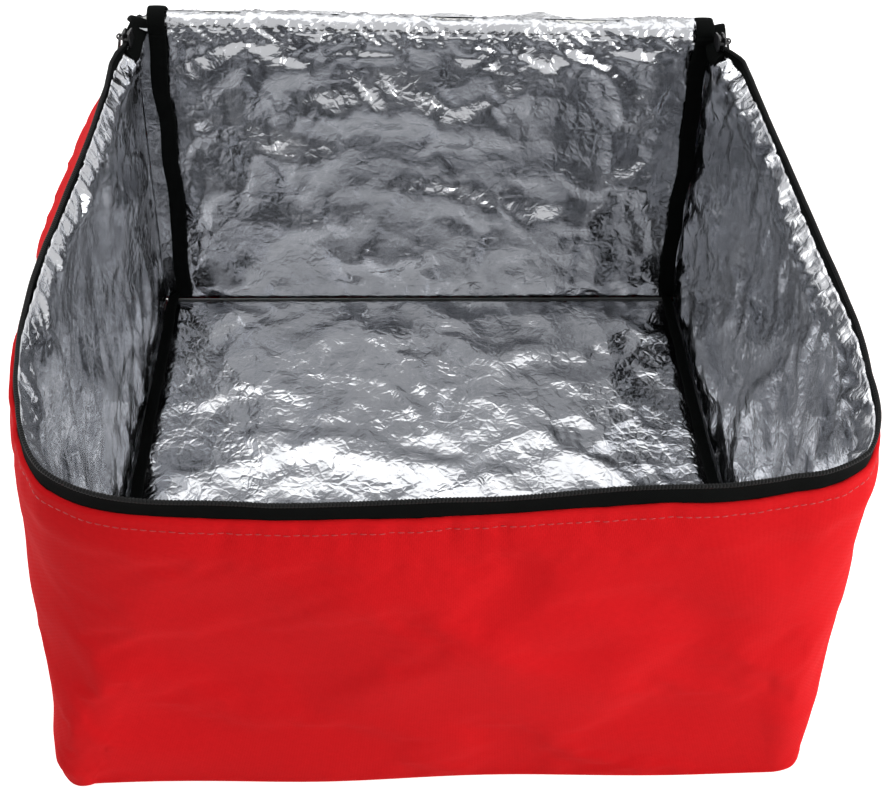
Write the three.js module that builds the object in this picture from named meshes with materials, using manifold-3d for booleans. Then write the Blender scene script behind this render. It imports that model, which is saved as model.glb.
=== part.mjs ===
// An insulated carrier bag, 400 x 400 mm on the floor, standing open with its lid thrown back.
// A red woven skin, closed-cell foam and a foil lining make three plies in every wall, in the base and in
// the lid. One skin strip wraps the left side, the front and the right side; a flat panel closes the back.
// A black coil zip with two sliders runs round three sides of the mouth and of the lid, and the lid turns
// on a fold along the top of the back wall. A webbing loop hangs on each side.
// Millimetres, +Z up, +Y to the back. The origin is the middle of the base, on the floor.
import * as THREE from "three";
import Module from "manifold-3d";

// The bag's outline on the floor
const BASE_WIDTH = 400;
const BASE_DEPTH = 400;
const BASE_CORNER = 16;

// The skin's outline at the mouth: drawn in at the back, wider towards the front, with two large soft front corners
const MOUTH_BACK_TAPER = 16;
const MOUTH_FLARE = 12;
const MOUTH_CORNER_ACROSS = 100;
const MOUTH_CORNER_ALONG = 112.5;
const MOUTH_CORNER_FULLNESS = 2.8;
const MOUTH_FRONT_TAPER = 1.5;
const FRONT_BOW = 5.5;

// How the walls swell between the floor and the mouth
const WALL_HEIGHT = 217;
const SIDE_SWELL = 8;
const FRONT_SWELL = 5;
const BACK_SWELL = 3;
const SWELL_SKEW = 1.9;

// Plies, with the small clearance that separate sheets keep
const SKIN = 1.0;
const FOAM = 4.5;
const FOIL = 0.7;
const BOARD = 3.0;
const PLY_GAP = 0.3;
const BASE_FIT = 0.8;

// How far the skin and the foil stand above the foam, with the zip tape sewn between them
const SKIN_TURNOVER = 2.5;
const FOIL_TURNOVER = 4.0;

// Coil zip
const TAPE = 0.8;
const TAPE_SEWN_DEPTH = 3.0;
const COIL_DEPTH = 6.0;
const COIL_THICK = 2.0;
const COIL_TALL = 2.4;
const ZIP_PARTING = 1.6;
const ZIP_STAND = 15.8;
const TAPE_STRAIGHT = 5.6;
const TAPE_UPRIGHT = 5;
const TAPE_END_SETBACK = 4.6;
const STOP_LENGTH = 1.5;
const STOP_PROUD = 0.4;
const STOP_CLEARANCE = 0.3;
const TAPE_TURN_IN = 14;

// Zip slider and its pull
const SLIDER_LENGTH = 11;
const SLIDER_TAIL_HALF = 3.9;
const SLIDER_NOSE_HALF = 4.6;
const SLIDER_CORNER = 1.5;
const SLIDER_PLATE = 1.0;
const SLIDER_CLEARANCE = 0.4;
const SLIDER_LIP = 0.9;
const SLIDER_LIP_SETBACK = 1.6;
const SLIDER_POST = 0.9;
const SLIDER_POST_START = 1.6;
const SLIDER_POST_POINT = 1.8;
const SLIDER_POST_SETBACK = 0.6;
const CROWN_SPAN = 5.4;
const CROWN_RISE = 3.0;
const CROWN_BAR = 0.8;
const CROWN_WIDE = 1.8;
const PULL_LENGTH = 27;
const PULL_WIDTH = 6.2;
const PULL_THICK = 1.2;
const PULL_EYE = 1.3;
const PULL_EYE_RIM = 0.9;
const PULL_NECK = 4;
const PULL_HOLE = 1.3;
const PULL_HANG = 12;

// Lid and the fold that it turns on
const HINGE_STAND = 10.2;
const HINGE_FOLD_RADIUS = 5;
const HINGE_FOLD_STEM = 4;
const HINGE_END_SETBACK = 24;
const HINGE_SHOULDER = 5;
const LID_STANDOFF = 5.5;
const LID_SWEEP_CLEARANCE = 1.1;
const LID_INSET = 5.5;
const LID_TAPE_START = 22;
const LID_TAPE_STRAIGHT = 2.4;
const LID_FLOOR_CLEARANCE = 0.4;

// Black tape that binds the inner seam down both back corners and round the base
const BINDING_WIDTH = 11;
const BINDING_THICK = 1.5;
const BINDING_TILT = 35;
const BINDING_SET_IN = 7;
const BINDING_TOP_SETBACK = 1;

// The floor's foil keeps its flat this far clear of the binding, and its rim lies this much lower
const FLOOR_MARGIN = 1.0;
const FLOOR_RIM_DROP = 0.4;

// Webbing loops, one on each side
const WEBBING_WIDTH = 30;
const WEBBING_THICK = 1.8;
const LOOP_SPACING = 130;
const LOOP_CENTRE_BACK = 10;
const LOOP_HEIGHT = 150;
const LOOP_DROP = 112;
const PATCH_HEIGHT = 58;
const PATCH_GAP = 0.5;
const LOOP_GAP = 1.5;

// How finely the curved sheets are divided
const SIDE_STEPS = 8;
const CORNER_STEPS = 8;
const FRONT_STEPS = 8;
const HEIGHT_STEPS = 8;

const UP = new THREE.Vector3(0, 0, 1);
const ALONG_X = new THREE.Vector3(1, 0, 0);
const ALONG_Y = new THREE.Vector3(0, 1, 0);
const mix = THREE.MathUtils.lerp;
const radians = THREE.MathUtils.degToRad;

const wasm = await Module();
wasm.setup();

// Stacks of plies, measured from the skin's outer face inwards
const foamOuter = SKIN + PLY_GAP;
const foamInner = foamOuter + FOAM;
const foilOuter = foamInner + PLY_GAP;
const foilInner = foilOuter + FOIL;
const wallThick = foilInner;

// Heights of the layers at the base and at the mouth
const wallBottom = SKIN + PLY_GAP;
const baseFoamTop = wallBottom + FOAM;
const boardBottom = baseFoamTop + PLY_GAP;
const boardTop = boardBottom + BOARD;
const baseFoilBottom = boardTop + PLY_GAP;
const baseFoilTop = baseFoilBottom + FOIL;

// The mouth, the zip's parting line and the hinge line over the back wall
const mouthBackWidth = BASE_WIDTH - MOUTH_BACK_TAPER;
const mouthWidth = BASE_WIDTH + MOUTH_FLARE;
const hingeWidth = mouthBackWidth - 2 * HINGE_END_SETBACK;
const zipHeight = WALL_HEIGHT + ZIP_STAND;
const hingeHeight = zipHeight + HINGE_STAND;
const backFace = BASE_DEPTH / 2;
const backFoilFace = backFace - wallThick;
const wrapEnd = backFoilFace - PLY_GAP;
const hingeY = backFace - wallThick / 2;
const lidHalfThick = wallThick / 2 + PLY_GAP / 2;
const lidEdgeSweep = Math.hypot(LID_STANDOFF, lidHalfThick);
const backWallTop = hingeHeight - lidEdgeSweep - LID_SWEEP_CLEARANCE;

// A closed solid from points and triangles, turned so that its faces point out.
function closedSolid(points, triangles) {
  let volume = 0;
  for (const [a, b, c] of triangles)
    volume += points[a].dot(new THREE.Vector3().crossVectors(points[b], points[c]));
  const index = triangles.flatMap(([a, b, c]) => (volume < 0 ? [a, c, b] : [a, b, c]));
  const geometry = new THREE.BufferGeometry().setFromPoints(points);
  geometry.setIndex(index);
  geometry.computeVertexNormals();
  return geometry;
}

// A sheet with thickness: place(i, j, side) gives a point of its face at side 0 or of its back at side 1.
function sheetSolid(place, columns, rows) {
  const points = [];
  const at = (i, j, side) => (side * (rows + 1) + j) * (columns + 1) + i;
  for (const side of [0, 1])
    for (let j = 0; j <= rows; j++)
      for (let i = 0; i <= columns; i++) points.push(place(i, j, side));
  const triangles = [];
  const quad = (a, b, c, d) => triangles.push([a, b, c], [a, c, d]);
  for (let j = 0; j < rows; j++)
    for (let i = 0; i < columns; i++) {
      quad(at(i, j, 0), at(i + 1, j, 0), at(i + 1, j + 1, 0), at(i, j + 1, 0));
      quad(at(i, j, 1), at(i, j + 1, 1), at(i + 1, j + 1, 1), at(i + 1, j, 1));
    }
  for (let i = 0; i < columns; i++) {
    quad(at(i, 0, 0), at(i, 0, 1), at(i + 1, 0, 1), at(i + 1, 0, 0));
    quad(at(i, rows, 0), at(i + 1, rows, 0), at(i + 1, rows, 1), at(i, rows, 1));
  }
  for (let j = 0; j < rows; j++) {
    quad(at(0, j, 0), at(0, j + 1, 0), at(0, j + 1, 1), at(0, j, 1));
    quad(at(columns, j, 0), at(columns, j, 1), at(columns, j + 1, 1), at(columns, j + 1, 0));
  }
  return closedSolid(points, triangles);
}

// A solid skinned over rings of points, all of one count. Its flat ends are the first and the last ring,
// whose outlines are also given in their own planes.
function loft(rings, firstOutline, lastOutline) {
  const count = firstOutline.length;
  const triangles = [];
  for (let k = 0; k < rings.length - 1; k++)
    for (let i = 0; i < count; i++) {
      const next = (i + 1) % count;
      const [low, high] = [k * count, (k + 1) * count];
      triangles.push([low + i, low + next, high + next], [low + i, high + next, high + i]);
    }
  const last = (rings.length - 1) * count;
  for (const [i, j, k] of THREE.ShapeUtils.triangulateShape(firstOutline, [])) triangles.push([i, k, j]);
  for (const [i, j, k] of THREE.ShapeUtils.triangulateShape(lastOutline, []))
    triangles.push([last + i, last + j, last + k]);
  return closedSolid(rings.flat(), triangles);
}

// A section swept through frames: each frame has an origin and the two directions of the section.
function sweep(section, frames) {
  const rings = frames.map(({ origin, a, b }) =>
    section.map(([p, q]) => origin.clone().addScaledVector(a, p).addScaledVector(b, q)),
  );
  const outline = section.map(([p, q]) => new THREE.Vector2(p, q));
  return loft(rings, outline, outline);
}

// A flat plate between two heights, with any outline seen from above.
function plate(outline, bottom, top) {
  const shape = new THREE.Shape(outline);
  const geometry = new THREE.ExtrudeGeometry(shape, { depth: top - bottom, bevelEnabled: false });
  return geometry.translate(0, 0, bottom);
}

const rectangle = (a0, a1, b0, b1) => [
  [a0, b0],
  [a1, b0],
  [a1, b1],
  [a0, b1],
];

function toManifold(geometry) {
  const flat = geometry.index ? geometry.toNonIndexed() : geometry;
  const position = flat.getAttribute("position");
  const keys = new Map();
  const vertices = [];
  const triangles = [];
  for (let i = 0; i < position.count; i++) {
    const point = [position.getX(i), position.getY(i), position.getZ(i)];
    const key = point.map((value) => Math.round(value * 1e4) + 0).join();
    if (!keys.has(key)) {
      keys.set(key, keys.size);
      vertices.push(...point);
    }
    triangles.push(keys.get(key));
  }
  return new wasm.Manifold(
    new wasm.Mesh({
      numProp: 3,
      vertProperties: new Float32Array(vertices),
      triVerts: new Uint32Array(triangles),
    }),
  );
}

function fromManifold(solid) {
  const mesh = solid.getMesh();
  const geometry = new THREE.BufferGeometry();
  geometry.setAttribute("position", new THREE.BufferAttribute(mesh.vertProperties, 3));
  geometry.setIndex(new THREE.BufferAttribute(mesh.triVerts, 1));
  geometry.computeVertexNormals();
  return geometry;
}

const union = (...geometries) =>
  fromManifold(geometries.map(toManifold).reduce((joined, next) => joined.add(next)));

const subtract = (geometry, ...cutters) =>
  fromManifold(cutters.map(toManifold).reduce((left, cutter) => left.subtract(cutter), toManifold(geometry)));

// The skin's outline at a height, as a path in five runs: u 0 to 1 is the left side from the back to the
// front corner, 1 to 2 that corner, 2 to 3 the front, 3 to 4 the right corner and 4 to 5 the right side.
function wallOutline(u, height) {
  if (u > 2.5) {
    const left = wallOutline(5 - u, height);
    return new THREE.Vector2(-left.x, left.y);
  }
  const rise = Math.min(Math.max(height / WALL_HEIGHT, 0), 1);
  const swell = Math.sin(Math.PI * rise ** SWELL_SKEW);
  const backHalf = mix(BASE_WIDTH, mouthBackWidth, rise) / 2;
  const sideHalf = mix(BASE_WIDTH, mouthWidth, rise) / 2;
  const across = mix(BASE_CORNER, MOUTH_CORNER_ACROSS, rise);
  const along = mix(BASE_CORNER, MOUTH_CORNER_ALONG, rise);
  const power = 2 / mix(2, MOUTH_CORNER_FULLNESS, rise);
  const front = -BASE_DEPTH / 2 + MOUTH_FRONT_TAPER * rise;
  if (u <= 1) {
    const bulge = SIDE_SWELL * swell * Math.sin(Math.PI * u) ** 2;
    return new THREE.Vector2(-mix(backHalf, sideHalf, u) - bulge, mix(wrapEnd, front + along, u));
  }
  if (u <= 2) {
    const turn = ((u - 1) * Math.PI) / 2;
    const x = -(sideHalf - across) - across * Math.max(Math.cos(turn), 0) ** power;
    return new THREE.Vector2(x, front + along - along * Math.sin(turn) ** power);
  }
  const bow = (FRONT_BOW * rise + FRONT_SWELL * swell) * Math.sin(Math.PI * (u - 2)) ** 2;
  return new THREE.Vector2(mix(-1, 1, u - 2) * (sideHalf - across), front - bow);
}

// The level direction out of the wall at u
function wallNormal(u, height) {
  const step = 0.004;
  const before = wallOutline(Math.max(u - step, 0), height);
  const after = wallOutline(Math.min(u + step, 5), height);
  return new THREE.Vector3(after.y - before.y, before.x - after.x, 0).normalize();
}

// A point of the wall at a depth behind the skin's outer face
function wallPoint(u, height, depth) {
  const outline = wallOutline(u, height);
  return new THREE.Vector3(outline.x, outline.y, height).addScaledVector(wallNormal(u, height), -depth);
}

// The positions along the wall path, the same for every ply so that the plies nest
const steps = (from, to, count) => Array.from({ length: count + 1 }, (_, i) => mix(from, to, i / count));
const wallPath = [
  ...steps(0, 1, SIDE_STEPS).slice(0, -1),
  ...steps(1, 2, CORNER_STEPS).slice(0, -1),
  ...steps(2, 3, FRONT_STEPS).slice(0, -1),
  ...steps(3, 4, CORNER_STEPS).slice(0, -1),
  ...steps(4, 5, SIDE_STEPS),
];
const wallHeights = steps(wallBottom, WALL_HEIGHT, HEIGHT_STEPS);

// The stretch of the wall path between two places, ends included
const pathBetween = (from, to) => [from, ...wallPath.filter((u) => u > from + 1e-6 && u < to - 1e-6), to];

// One ply of the wrap, between two places on the path and two depths
function wallPly(path, heights, outer, inner) {
  const place = (i, j, side) => wallPoint(path[i], heights[j], side ? inner : outer);
  return sheetSolid(place, path.length - 1, heights.length - 1);
}

// Half the back wall's width at a height: above the side walls it narrows to the hinge
function backHalfWidth(height) {
  if (height <= WALL_HEIGHT) return -wallOutline(0, height).x;
  const shoulder = Math.min((height - WALL_HEIGHT) / HINGE_SHOULDER, 1);
  return mix(mouthBackWidth, hingeWidth, shoulder) / 2;
}

// One ply of the back wall between two depths
function backPly(outer, inner) {
  const columns = 10;
  const heights = [...wallHeights, WALL_HEIGHT + HINGE_SHOULDER, backWallTop];
  const place = (i, j, side) => {
    const share = i / columns;
    const height = heights[j];
    const rise = Math.min(height / WALL_HEIGHT, 1);
    const bulge = BACK_SWELL * Math.sin(Math.PI * rise ** SWELL_SKEW) * Math.sin(Math.PI * share) ** 2;
    return new THREE.Vector3(
      mix(-1, 1, share) * backHalfWidth(height),
      backFace + bulge - (side ? inner : outer),
      height,
    );
  };
  return sheetSolid(place, columns, heights.length - 1);
}

// The base's outline at a height, set in from the skin by a depth and closed along the back
function baseOutline(height, inset, back) {
  const points = wallPath.map((u) => wallPoint(u, height, inset)).map(({ x, y }) => new THREE.Vector2(x, y));
  points[0].y = back;
  points[points.length - 1].y = back;
  return points;
}

// The binding tape round the base lies in the angle between floor and wall: where its middle is, and how
// far in from the wall its inner edge comes
const baseInset = wallThick + BASE_FIT;
const baseBack = wrapEnd - PLY_GAP;
const bindingTilt = radians(BINDING_TILT);
const bindingLevel = (BINDING_WIDTH * Math.cos(bindingTilt) + BINDING_THICK * Math.sin(bindingTilt)) / 2;
const bindingRise = (BINDING_WIDTH * Math.sin(bindingTilt) + BINDING_THICK * Math.cos(bindingTilt)) / 2;
const bindingIn = baseInset + PLY_GAP + bindingLevel;
const bindingUp = baseFoilTop + PLY_GAP + bindingRise;
const bindingReach = bindingIn + bindingLevel;

// The floor's foil: flat inside the binding, with a rim that is drawn down into the seam under the tape
function floorFoil() {
  const rim = baseOutline(baseFoilTop, baseInset, baseBack);
  const flat = baseOutline(baseFoilTop, bindingReach + FLOOR_MARGIN, baseBack - BINDING_THICK - FLOOR_MARGIN);
  const ring = (outline, height) => outline.map(({ x, y }) => new THREE.Vector3(x, y, height));
  const rimTop = baseFoilTop - FLOOR_RIM_DROP;
  return loft([ring(rim, baseFoilBottom), ring(rim, rimTop), ring(flat, baseFoilTop)], rim, flat);
}

// Frames along the mouth: the section's first direction points out of the bag and its second up.
function mouthFrames(path, depth) {
  return path.map((u) => ({
    origin: wallPoint(u, WALL_HEIGHT, depth).setZ(0),
    a: wallNormal(u, WALL_HEIGHT),
    b: UP,
  }));
}

// The place on the left run of the mouth whose Y, at a depth behind the skin, is given
function mouthPlace(y) {
  const back = wallPoint(0, WALL_HEIGHT, COIL_DEPTH).y;
  const front = wallPoint(1, WALL_HEIGHT, COIL_DEPTH).y;
  return (back - y) / (back - front);
}

// Zip. The two coils lie above and below the parting height, and the tapes run from them to the sewing.
const bodyCoilTop = zipHeight - ZIP_PARTING / 2;
const bodyCoilBottom = bodyCoilTop - COIL_TALL;
const lidCoilBottom = zipHeight + ZIP_PARTING / 2;
const lidCoilTop = lidCoilBottom + COIL_TALL;
const coilEndY = wrapEnd - TAPE_END_SETBACK - STOP_LENGTH;
const sliderRestY = coilEndY - STOP_CLEARANCE - SLIDER_LENGTH / 2;

function coilSection(bottom, top) {
  const corner = COIL_THICK / 4;
  const half = COIL_THICK / 2;
  return [
    [-half, bottom + corner],
    [-half + corner, bottom],
    [half - corner, bottom],
    [half, bottom + corner],
    [half, top - corner],
    [half - corner, top],
    [-half + corner, top],
    [-half, top - corner],
  ];
}

// A tape's section: its middle line, thickened to both sides
function tapeSection(line) {
  const outer = line.map(([a, b]) => [a + TAPE / 2, b]);
  const inner = line.map(([a, b]) => [a - TAPE / 2, b]);
  return [...outer, ...inner.reverse()];
}

const bodyTapeLine = [
  [COIL_DEPTH - TAPE_SEWN_DEPTH, WALL_HEIGHT + PLY_GAP],
  [COIL_DEPTH - TAPE_SEWN_DEPTH, WALL_HEIGHT + TAPE_UPRIGHT],
  [0, zipHeight - TAPE_STRAIGHT],
  [0, bodyCoilBottom - PLY_GAP],
];
const bodyZipPath = pathBetween(mouthPlace(coilEndY), 5 - mouthPlace(coilEndY));
const bodyTapePath = pathBetween(mouthPlace(wrapEnd - TAPE_END_SETBACK), 5 - mouthPlace(wrapEnd - TAPE_END_SETBACK));

function bodyZipTape() {
  return sweep(tapeSection(bodyTapeLine), mouthFrames(bodyTapePath, COIL_DEPTH));
}

function bodyZipCoil() {
  return sweep(coilSection(bodyCoilBottom, bodyCoilTop), mouthFrames(bodyZipPath, COIL_DEPTH));
}

// The direction from a slider's rest to the front along the mouth, and the place where it rests
function sliderTrack(side) {
  const back = wallPoint(0, WALL_HEIGHT, COIL_DEPTH);
  const front = wallPoint(1, WALL_HEIGHT, COIL_DEPTH);
  const rest = back.clone().lerp(front, mouthPlace(sliderRestY)).setZ(zipHeight);
  const along = front.clone().sub(back).setZ(0).normalize();
  const mirror = new THREE.Vector3(-side, 1, 1);
  return { rest: rest.multiply(mirror), along: along.multiply(mirror), side };
}

// A small stop at the coil's back end, behind the slider
function zipStop(side) {
  const { rest, along } = sliderTrack(side);
  const distance = -(SLIDER_LENGTH / 2 + STOP_CLEARANCE);
  const middle = rest.clone().addScaledVector(along, distance - PLY_GAP - STOP_LENGTH / 2);
  const stop = new THREE.BoxGeometry(STOP_LENGTH, COIL_THICK + 2 * STOP_PROUD, COIL_TALL);
  stop.rotateZ(Math.atan2(along.y, along.x));
  return stop.translate(middle.x, middle.y, bodyCoilBottom + COIL_TALL / 2);
}

// The end of the tape, turned in across the back corner
function zipEnd(side) {
  const { rest, along } = sliderTrack(side);
  const start = rest.clone().addScaledVector(along, (wrapEnd - TAPE_END_SETBACK - rest.y) / along.y);
  const inward = -side;
  const face = wrapEnd - PLY_GAP - TAPE / 2;
  const corner = face - start.y - PLY_GAP;
  const path = steps(0, Math.PI / 2, 4).map(
    (turn) =>
      new THREE.Vector3(
        start.x + inward * corner * (1 - Math.cos(turn)),
        start.y + PLY_GAP + corner * Math.sin(turn),
        0,
      ),
  );
  path.push(new THREE.Vector3(start.x + inward * TAPE_TURN_IN, face, 0));
  const frames = path.map((origin, i) => {
    const before = path[Math.max(i - 1, 0)];
    const after = path[Math.min(i + 1, path.length - 1)];
    const run = after.clone().sub(before).normalize();
    return { origin, a: new THREE.Vector3().crossVectors(run, UP), b: UP };
  });
  const bottom = WALL_HEIGHT + FOIL_TURNOVER + PLY_GAP;
  return sweep(rectangle(-TAPE / 2, TAPE / 2, bottom, bodyCoilBottom - PLY_GAP), frames);
}

// Slider, in its own axes: x along the travel, y out of the bag and z up from the parting height.
const channelHalf = COIL_THICK / 2 + SLIDER_CLEARANCE;
const channelTall = ZIP_PARTING / 2 + COIL_TALL + SLIDER_CLEARANCE;
const lipReach = TAPE / 2 + SLIDER_CLEARANCE;
const plateFace = channelHalf + SLIDER_PLATE;
const crownTop = plateFace + CROWN_RISE;
const pullAxisOut = crownTop - CROWN_BAR / 2;

function sliderPlateShape() {
  const half = SLIDER_LENGTH / 2;
  const shape = new THREE.Shape();
  const [tail, nose, corner] = [SLIDER_TAIL_HALF, SLIDER_NOSE_HALF, SLIDER_CORNER];
  shape.moveTo(-half, -tail + corner);
  shape.quadraticCurveTo(-half, -tail, -half + corner, -tail);
  shape.lineTo(0, -nose);
  shape.lineTo(half - corner, -nose);
  shape.quadraticCurveTo(half, -nose, half, -nose + corner);
  shape.lineTo(half, nose - corner);
  shape.quadraticCurveTo(half, nose, half - corner, nose);
  shape.lineTo(0, nose);
  shape.lineTo(-half + corner, tail);
  shape.quadraticCurveTo(-half, tail, -half, tail - corner);
  return shape;
}

// A shape drawn in the slider's x and z, made thick from one y to another
function acrossSlider(shape, from, to) {
  const geometry = new THREE.ExtrudeGeometry(shape, { depth: to - from, bevelEnabled: false, curveSegments: 3 });
  return geometry.rotateX(Math.PI / 2).translate(0, to, 0);
}

function block(x0, x1, y0, y1, z0, z1) {
  const box = new THREE.BoxGeometry(x1 - x0, y1 - y0, z1 - z0);
  return box.translate((x0 + x1) / 2, (y0 + y1) / 2, (z0 + z1) / 2);
}

function sliderBody() {
  const half = SLIDER_LENGTH / 2;
  const sink = 0.05;
  const pieces = [
    acrossSlider(sliderPlateShape(), channelHalf, plateFace),
    acrossSlider(sliderPlateShape(), -plateFace, -channelHalf),
  ];
  for (const face of [1, -1])
    for (const edge of [1, -1]) {
      const [near, far] = [face * lipReach, face * (channelHalf + sink)].sort((p, q) => p - q);
      const [low, high] = [edge * channelTall, edge * (channelTall + SLIDER_LIP)].sort((p, q) => p - q);
      pieces.push(block(0, half - SLIDER_LIP_SETBACK, near, far, low, high));
    }
  const postWidest = SLIDER_POST_START + SLIDER_POST_POINT;
  const postEnd = half - SLIDER_POST_SETBACK;
  const post = new THREE.Shape([
    new THREE.Vector2(SLIDER_POST_START, 0),
    new THREE.Vector2(postWidest, -SLIDER_POST / 2),
    new THREE.Vector2(postEnd, -SLIDER_POST / 3),
    new THREE.Vector2(postEnd, SLIDER_POST / 3),
    new THREE.Vector2(postWidest, SLIDER_POST / 2),
  ]);
  pieces.push(acrossSlider(post, -channelHalf - sink, channelHalf + sink));
  const foot = CROWN_SPAN / 2;
  for (const end of [1, -1]) {
    const [near, far] = [end * (foot - CROWN_BAR), end * foot].sort((p, q) => p - q);
    pieces.push(block(near, far, plateFace - sink, crownTop, -CROWN_WIDE / 2, CROWN_WIDE / 2));
  }
  pieces.push(block(-foot, foot, crownTop - CROWN_BAR, crownTop, -CROWN_WIDE / 2, CROWN_WIDE / 2));
  return union(...pieces);
}

// The pull hangs from the crown bar, which lies along x at its origin. The eye is a ring round the bar and
// the flat tongue under it is turned a quarter, so that it lies along the wall.
function pullTab() {
  const half = PULL_WIDTH / 2;
  const rim = PULL_EYE + PULL_EYE_RIM;
  const tongue = new THREE.Shape();
  tongue.moveTo(-PULL_EYE, -PULL_EYE - PULL_EYE_RIM / 2);
  tongue.lineTo(-half * 0.8, -rim - PULL_NECK);
  tongue.lineTo(-half, -PULL_LENGTH + half);
  tongue.absarc(0, -PULL_LENGTH + half, half, Math.PI, 2 * Math.PI, false);
  tongue.lineTo(half * 0.8, -rim - PULL_NECK);
  tongue.lineTo(PULL_EYE, -PULL_EYE - PULL_EYE_RIM / 2);
  const hole = new THREE.CylinderGeometry(PULL_HOLE, PULL_HOLE, PULL_THICK * 3, 12);
  hole.translate(0, 0, -PULL_LENGTH + half);
  const ring = new THREE.CylinderGeometry(rim, rim, PULL_THICK, 20).rotateZ(Math.PI / 2);
  const eye = new THREE.CylinderGeometry(PULL_EYE, PULL_EYE, PULL_LENGTH, 20).rotateZ(Math.PI / 2);
  return subtract(union(acrossSlider(tongue, -PULL_THICK / 2, PULL_THICK / 2), ring), eye, hole);
}

// Seam binding inside: down both back corners and round the left, front and right edges of the base
function seamBinding() {
  const [level, rise] = [Math.cos(bindingTilt), Math.sin(bindingTilt)];
  const halfWide = BINDING_WIDTH / 2;
  const halfThick = BINDING_THICK / 2;
  const frames = wallPath.map((u) => {
    const out = wallNormal(u, bindingUp);
    return {
      origin: wallPoint(u, bindingUp, bindingIn),
      a: out.clone().multiplyScalar(-level).addScaledVector(UP, rise),
      b: out.clone().multiplyScalar(rise).addScaledVector(UP, level),
    };
  });
  const section = rectangle(-halfWide, halfWide, -halfThick, halfThick);
  const round = sweep(section, frames);
  const heights = [bindingUp, ...wallHeights.filter((height) => height > bindingUp)];
  heights[heights.length - 1] = WALL_HEIGHT - BINDING_TOP_SETBACK;
  const face = wrapEnd - PLY_GAP - halfThick;
  const strip = baseInset + BINDING_SET_IN + halfWide;
  const upright = (side) =>
    sweep(
      section,
      heights.map((height) => ({
        origin: new THREE.Vector3(side * (backHalfWidth(height) - strip), face, height),
        a: ALONG_X,
        b: ALONG_Y,
      })),
    );
  return union(round, upright(-1), upright(1));
}

// Webbing. The patch is sewn to the side wall and the loop hangs from its top edge.
const sidePlace = (y, height) => {
  const back = wallOutline(0, height).y;
  const front = wallOutline(1, height).y;
  return (back - y) / (back - front);
};
const loopEndY = (end) => LOOP_CENTRE_BACK + (end * LOOP_SPACING) / 2;

function webbingPatch(side, end) {
  const columns = 4;
  const heights = steps(LOOP_HEIGHT - PATCH_HEIGHT, LOOP_HEIGHT, 4);
  const place = (i, j, back) => {
    const y = loopEndY(end) + (i / columns - 0.5) * WEBBING_WIDTH;
    const depth = back ? -PATCH_GAP - WEBBING_THICK : -PATCH_GAP;
    const point = wallPoint(sidePlace(y, heights[j]), heights[j], depth);
    return point.multiply(new THREE.Vector3(-side, 1, 1));
  };
  return sheetSolid(place, columns, heights.length - 1);
}

// Where a loop's two ends turn, outside the patches
function loopPivots(side) {
  const standoff = PATCH_GAP + WEBBING_THICK + LOOP_GAP + WEBBING_THICK / 2;
  return [-1, 1].map((end) => {
    const u = sidePlace(loopEndY(end), LOOP_HEIGHT);
    return wallPoint(u, LOOP_HEIGHT, -standoff).multiply(new THREE.Vector3(-side, 1, 1));
  });
}

function webbingLoop(side) {
  const [front, back] = loopPivots(side);
  const run = back.clone().sub(front).normalize();
  const out = new THREE.Vector3().crossVectors(run, UP).multiplyScalar(side);
  const half = front.distanceTo(back) / 2;
  const middle = front.clone().add(back).multiplyScalar(0.5);
  const straight = LOOP_DROP - half;
  const count = 28;
  const point = (share) => {
    const total = 2 * straight + Math.PI * half;
    const walked = share * total;
    if (walked < straight) return [-half, -walked];
    if (walked > total - straight) return [half, walked - total];
    const turn = (walked - straight) / half;
    return [-half * Math.cos(turn), -straight - half * Math.sin(turn)];
  };
  const twistAt = (share) => (Math.PI / 2) * Math.sin(Math.PI * THREE.MathUtils.smoothstep(share, 0, 1)) ** 2;
  const frames = steps(0, 1, count).map((share) => {
    const twist = twistAt(share);
    const [along, up] = point(share);
    const [alongNext, upNext] = point(Math.min(share + 0.002, 1));
    const [alongBefore, upBefore] = point(Math.max(share - 0.002, 0));
    const tangent = run
      .clone()
      .multiplyScalar(alongNext - alongBefore)
      .addScaledVector(UP, upNext - upBefore)
      .normalize();
    const across = new THREE.Vector3().crossVectors(out, tangent);
    const wide = across.clone().multiplyScalar(Math.cos(twist)).addScaledVector(out, Math.sin(twist));
    const origin = middle.clone().addScaledVector(run, along).addScaledVector(UP, up);
    origin.addScaledVector(out, (WEBBING_WIDTH / 2) * Math.sin(twist));
    return { origin, a: wide, b: new THREE.Vector3().crossVectors(tangent, wide) };
  });
  const section = rectangle(-WEBBING_WIDTH / 2, WEBBING_WIDTH / 2, -WEBBING_THICK / 2, WEBBING_THICK / 2);
  return sweep(section, frames);
}

// The fold along the top of the back wall: a roll round the hinge line on a narrow stem
function hingeFold() {
  const halfStem = HINGE_FOLD_STEM / 2;
  const side = Math.asin(halfStem / HINGE_FOLD_RADIUS);
  const shape = new THREE.Shape();
  shape.moveTo(halfStem, backWallTop + PLY_GAP - hingeHeight);
  shape.absarc(0, 0, HINGE_FOLD_RADIUS, -Math.PI / 2 + side, (3 * Math.PI) / 2 - side, false);
  shape.lineTo(-halfStem, backWallTop + PLY_GAP - hingeHeight);
  const roll = new THREE.ExtrudeGeometry(shape, { depth: hingeWidth, bevelEnabled: false, curveSegments: 20 });
  roll.applyMatrix4(new THREE.Matrix4().makeBasis(ALONG_Y, UP, ALONG_X));
  return roll.translate(-hingeWidth / 2, hingeY, hingeHeight);
}

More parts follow.
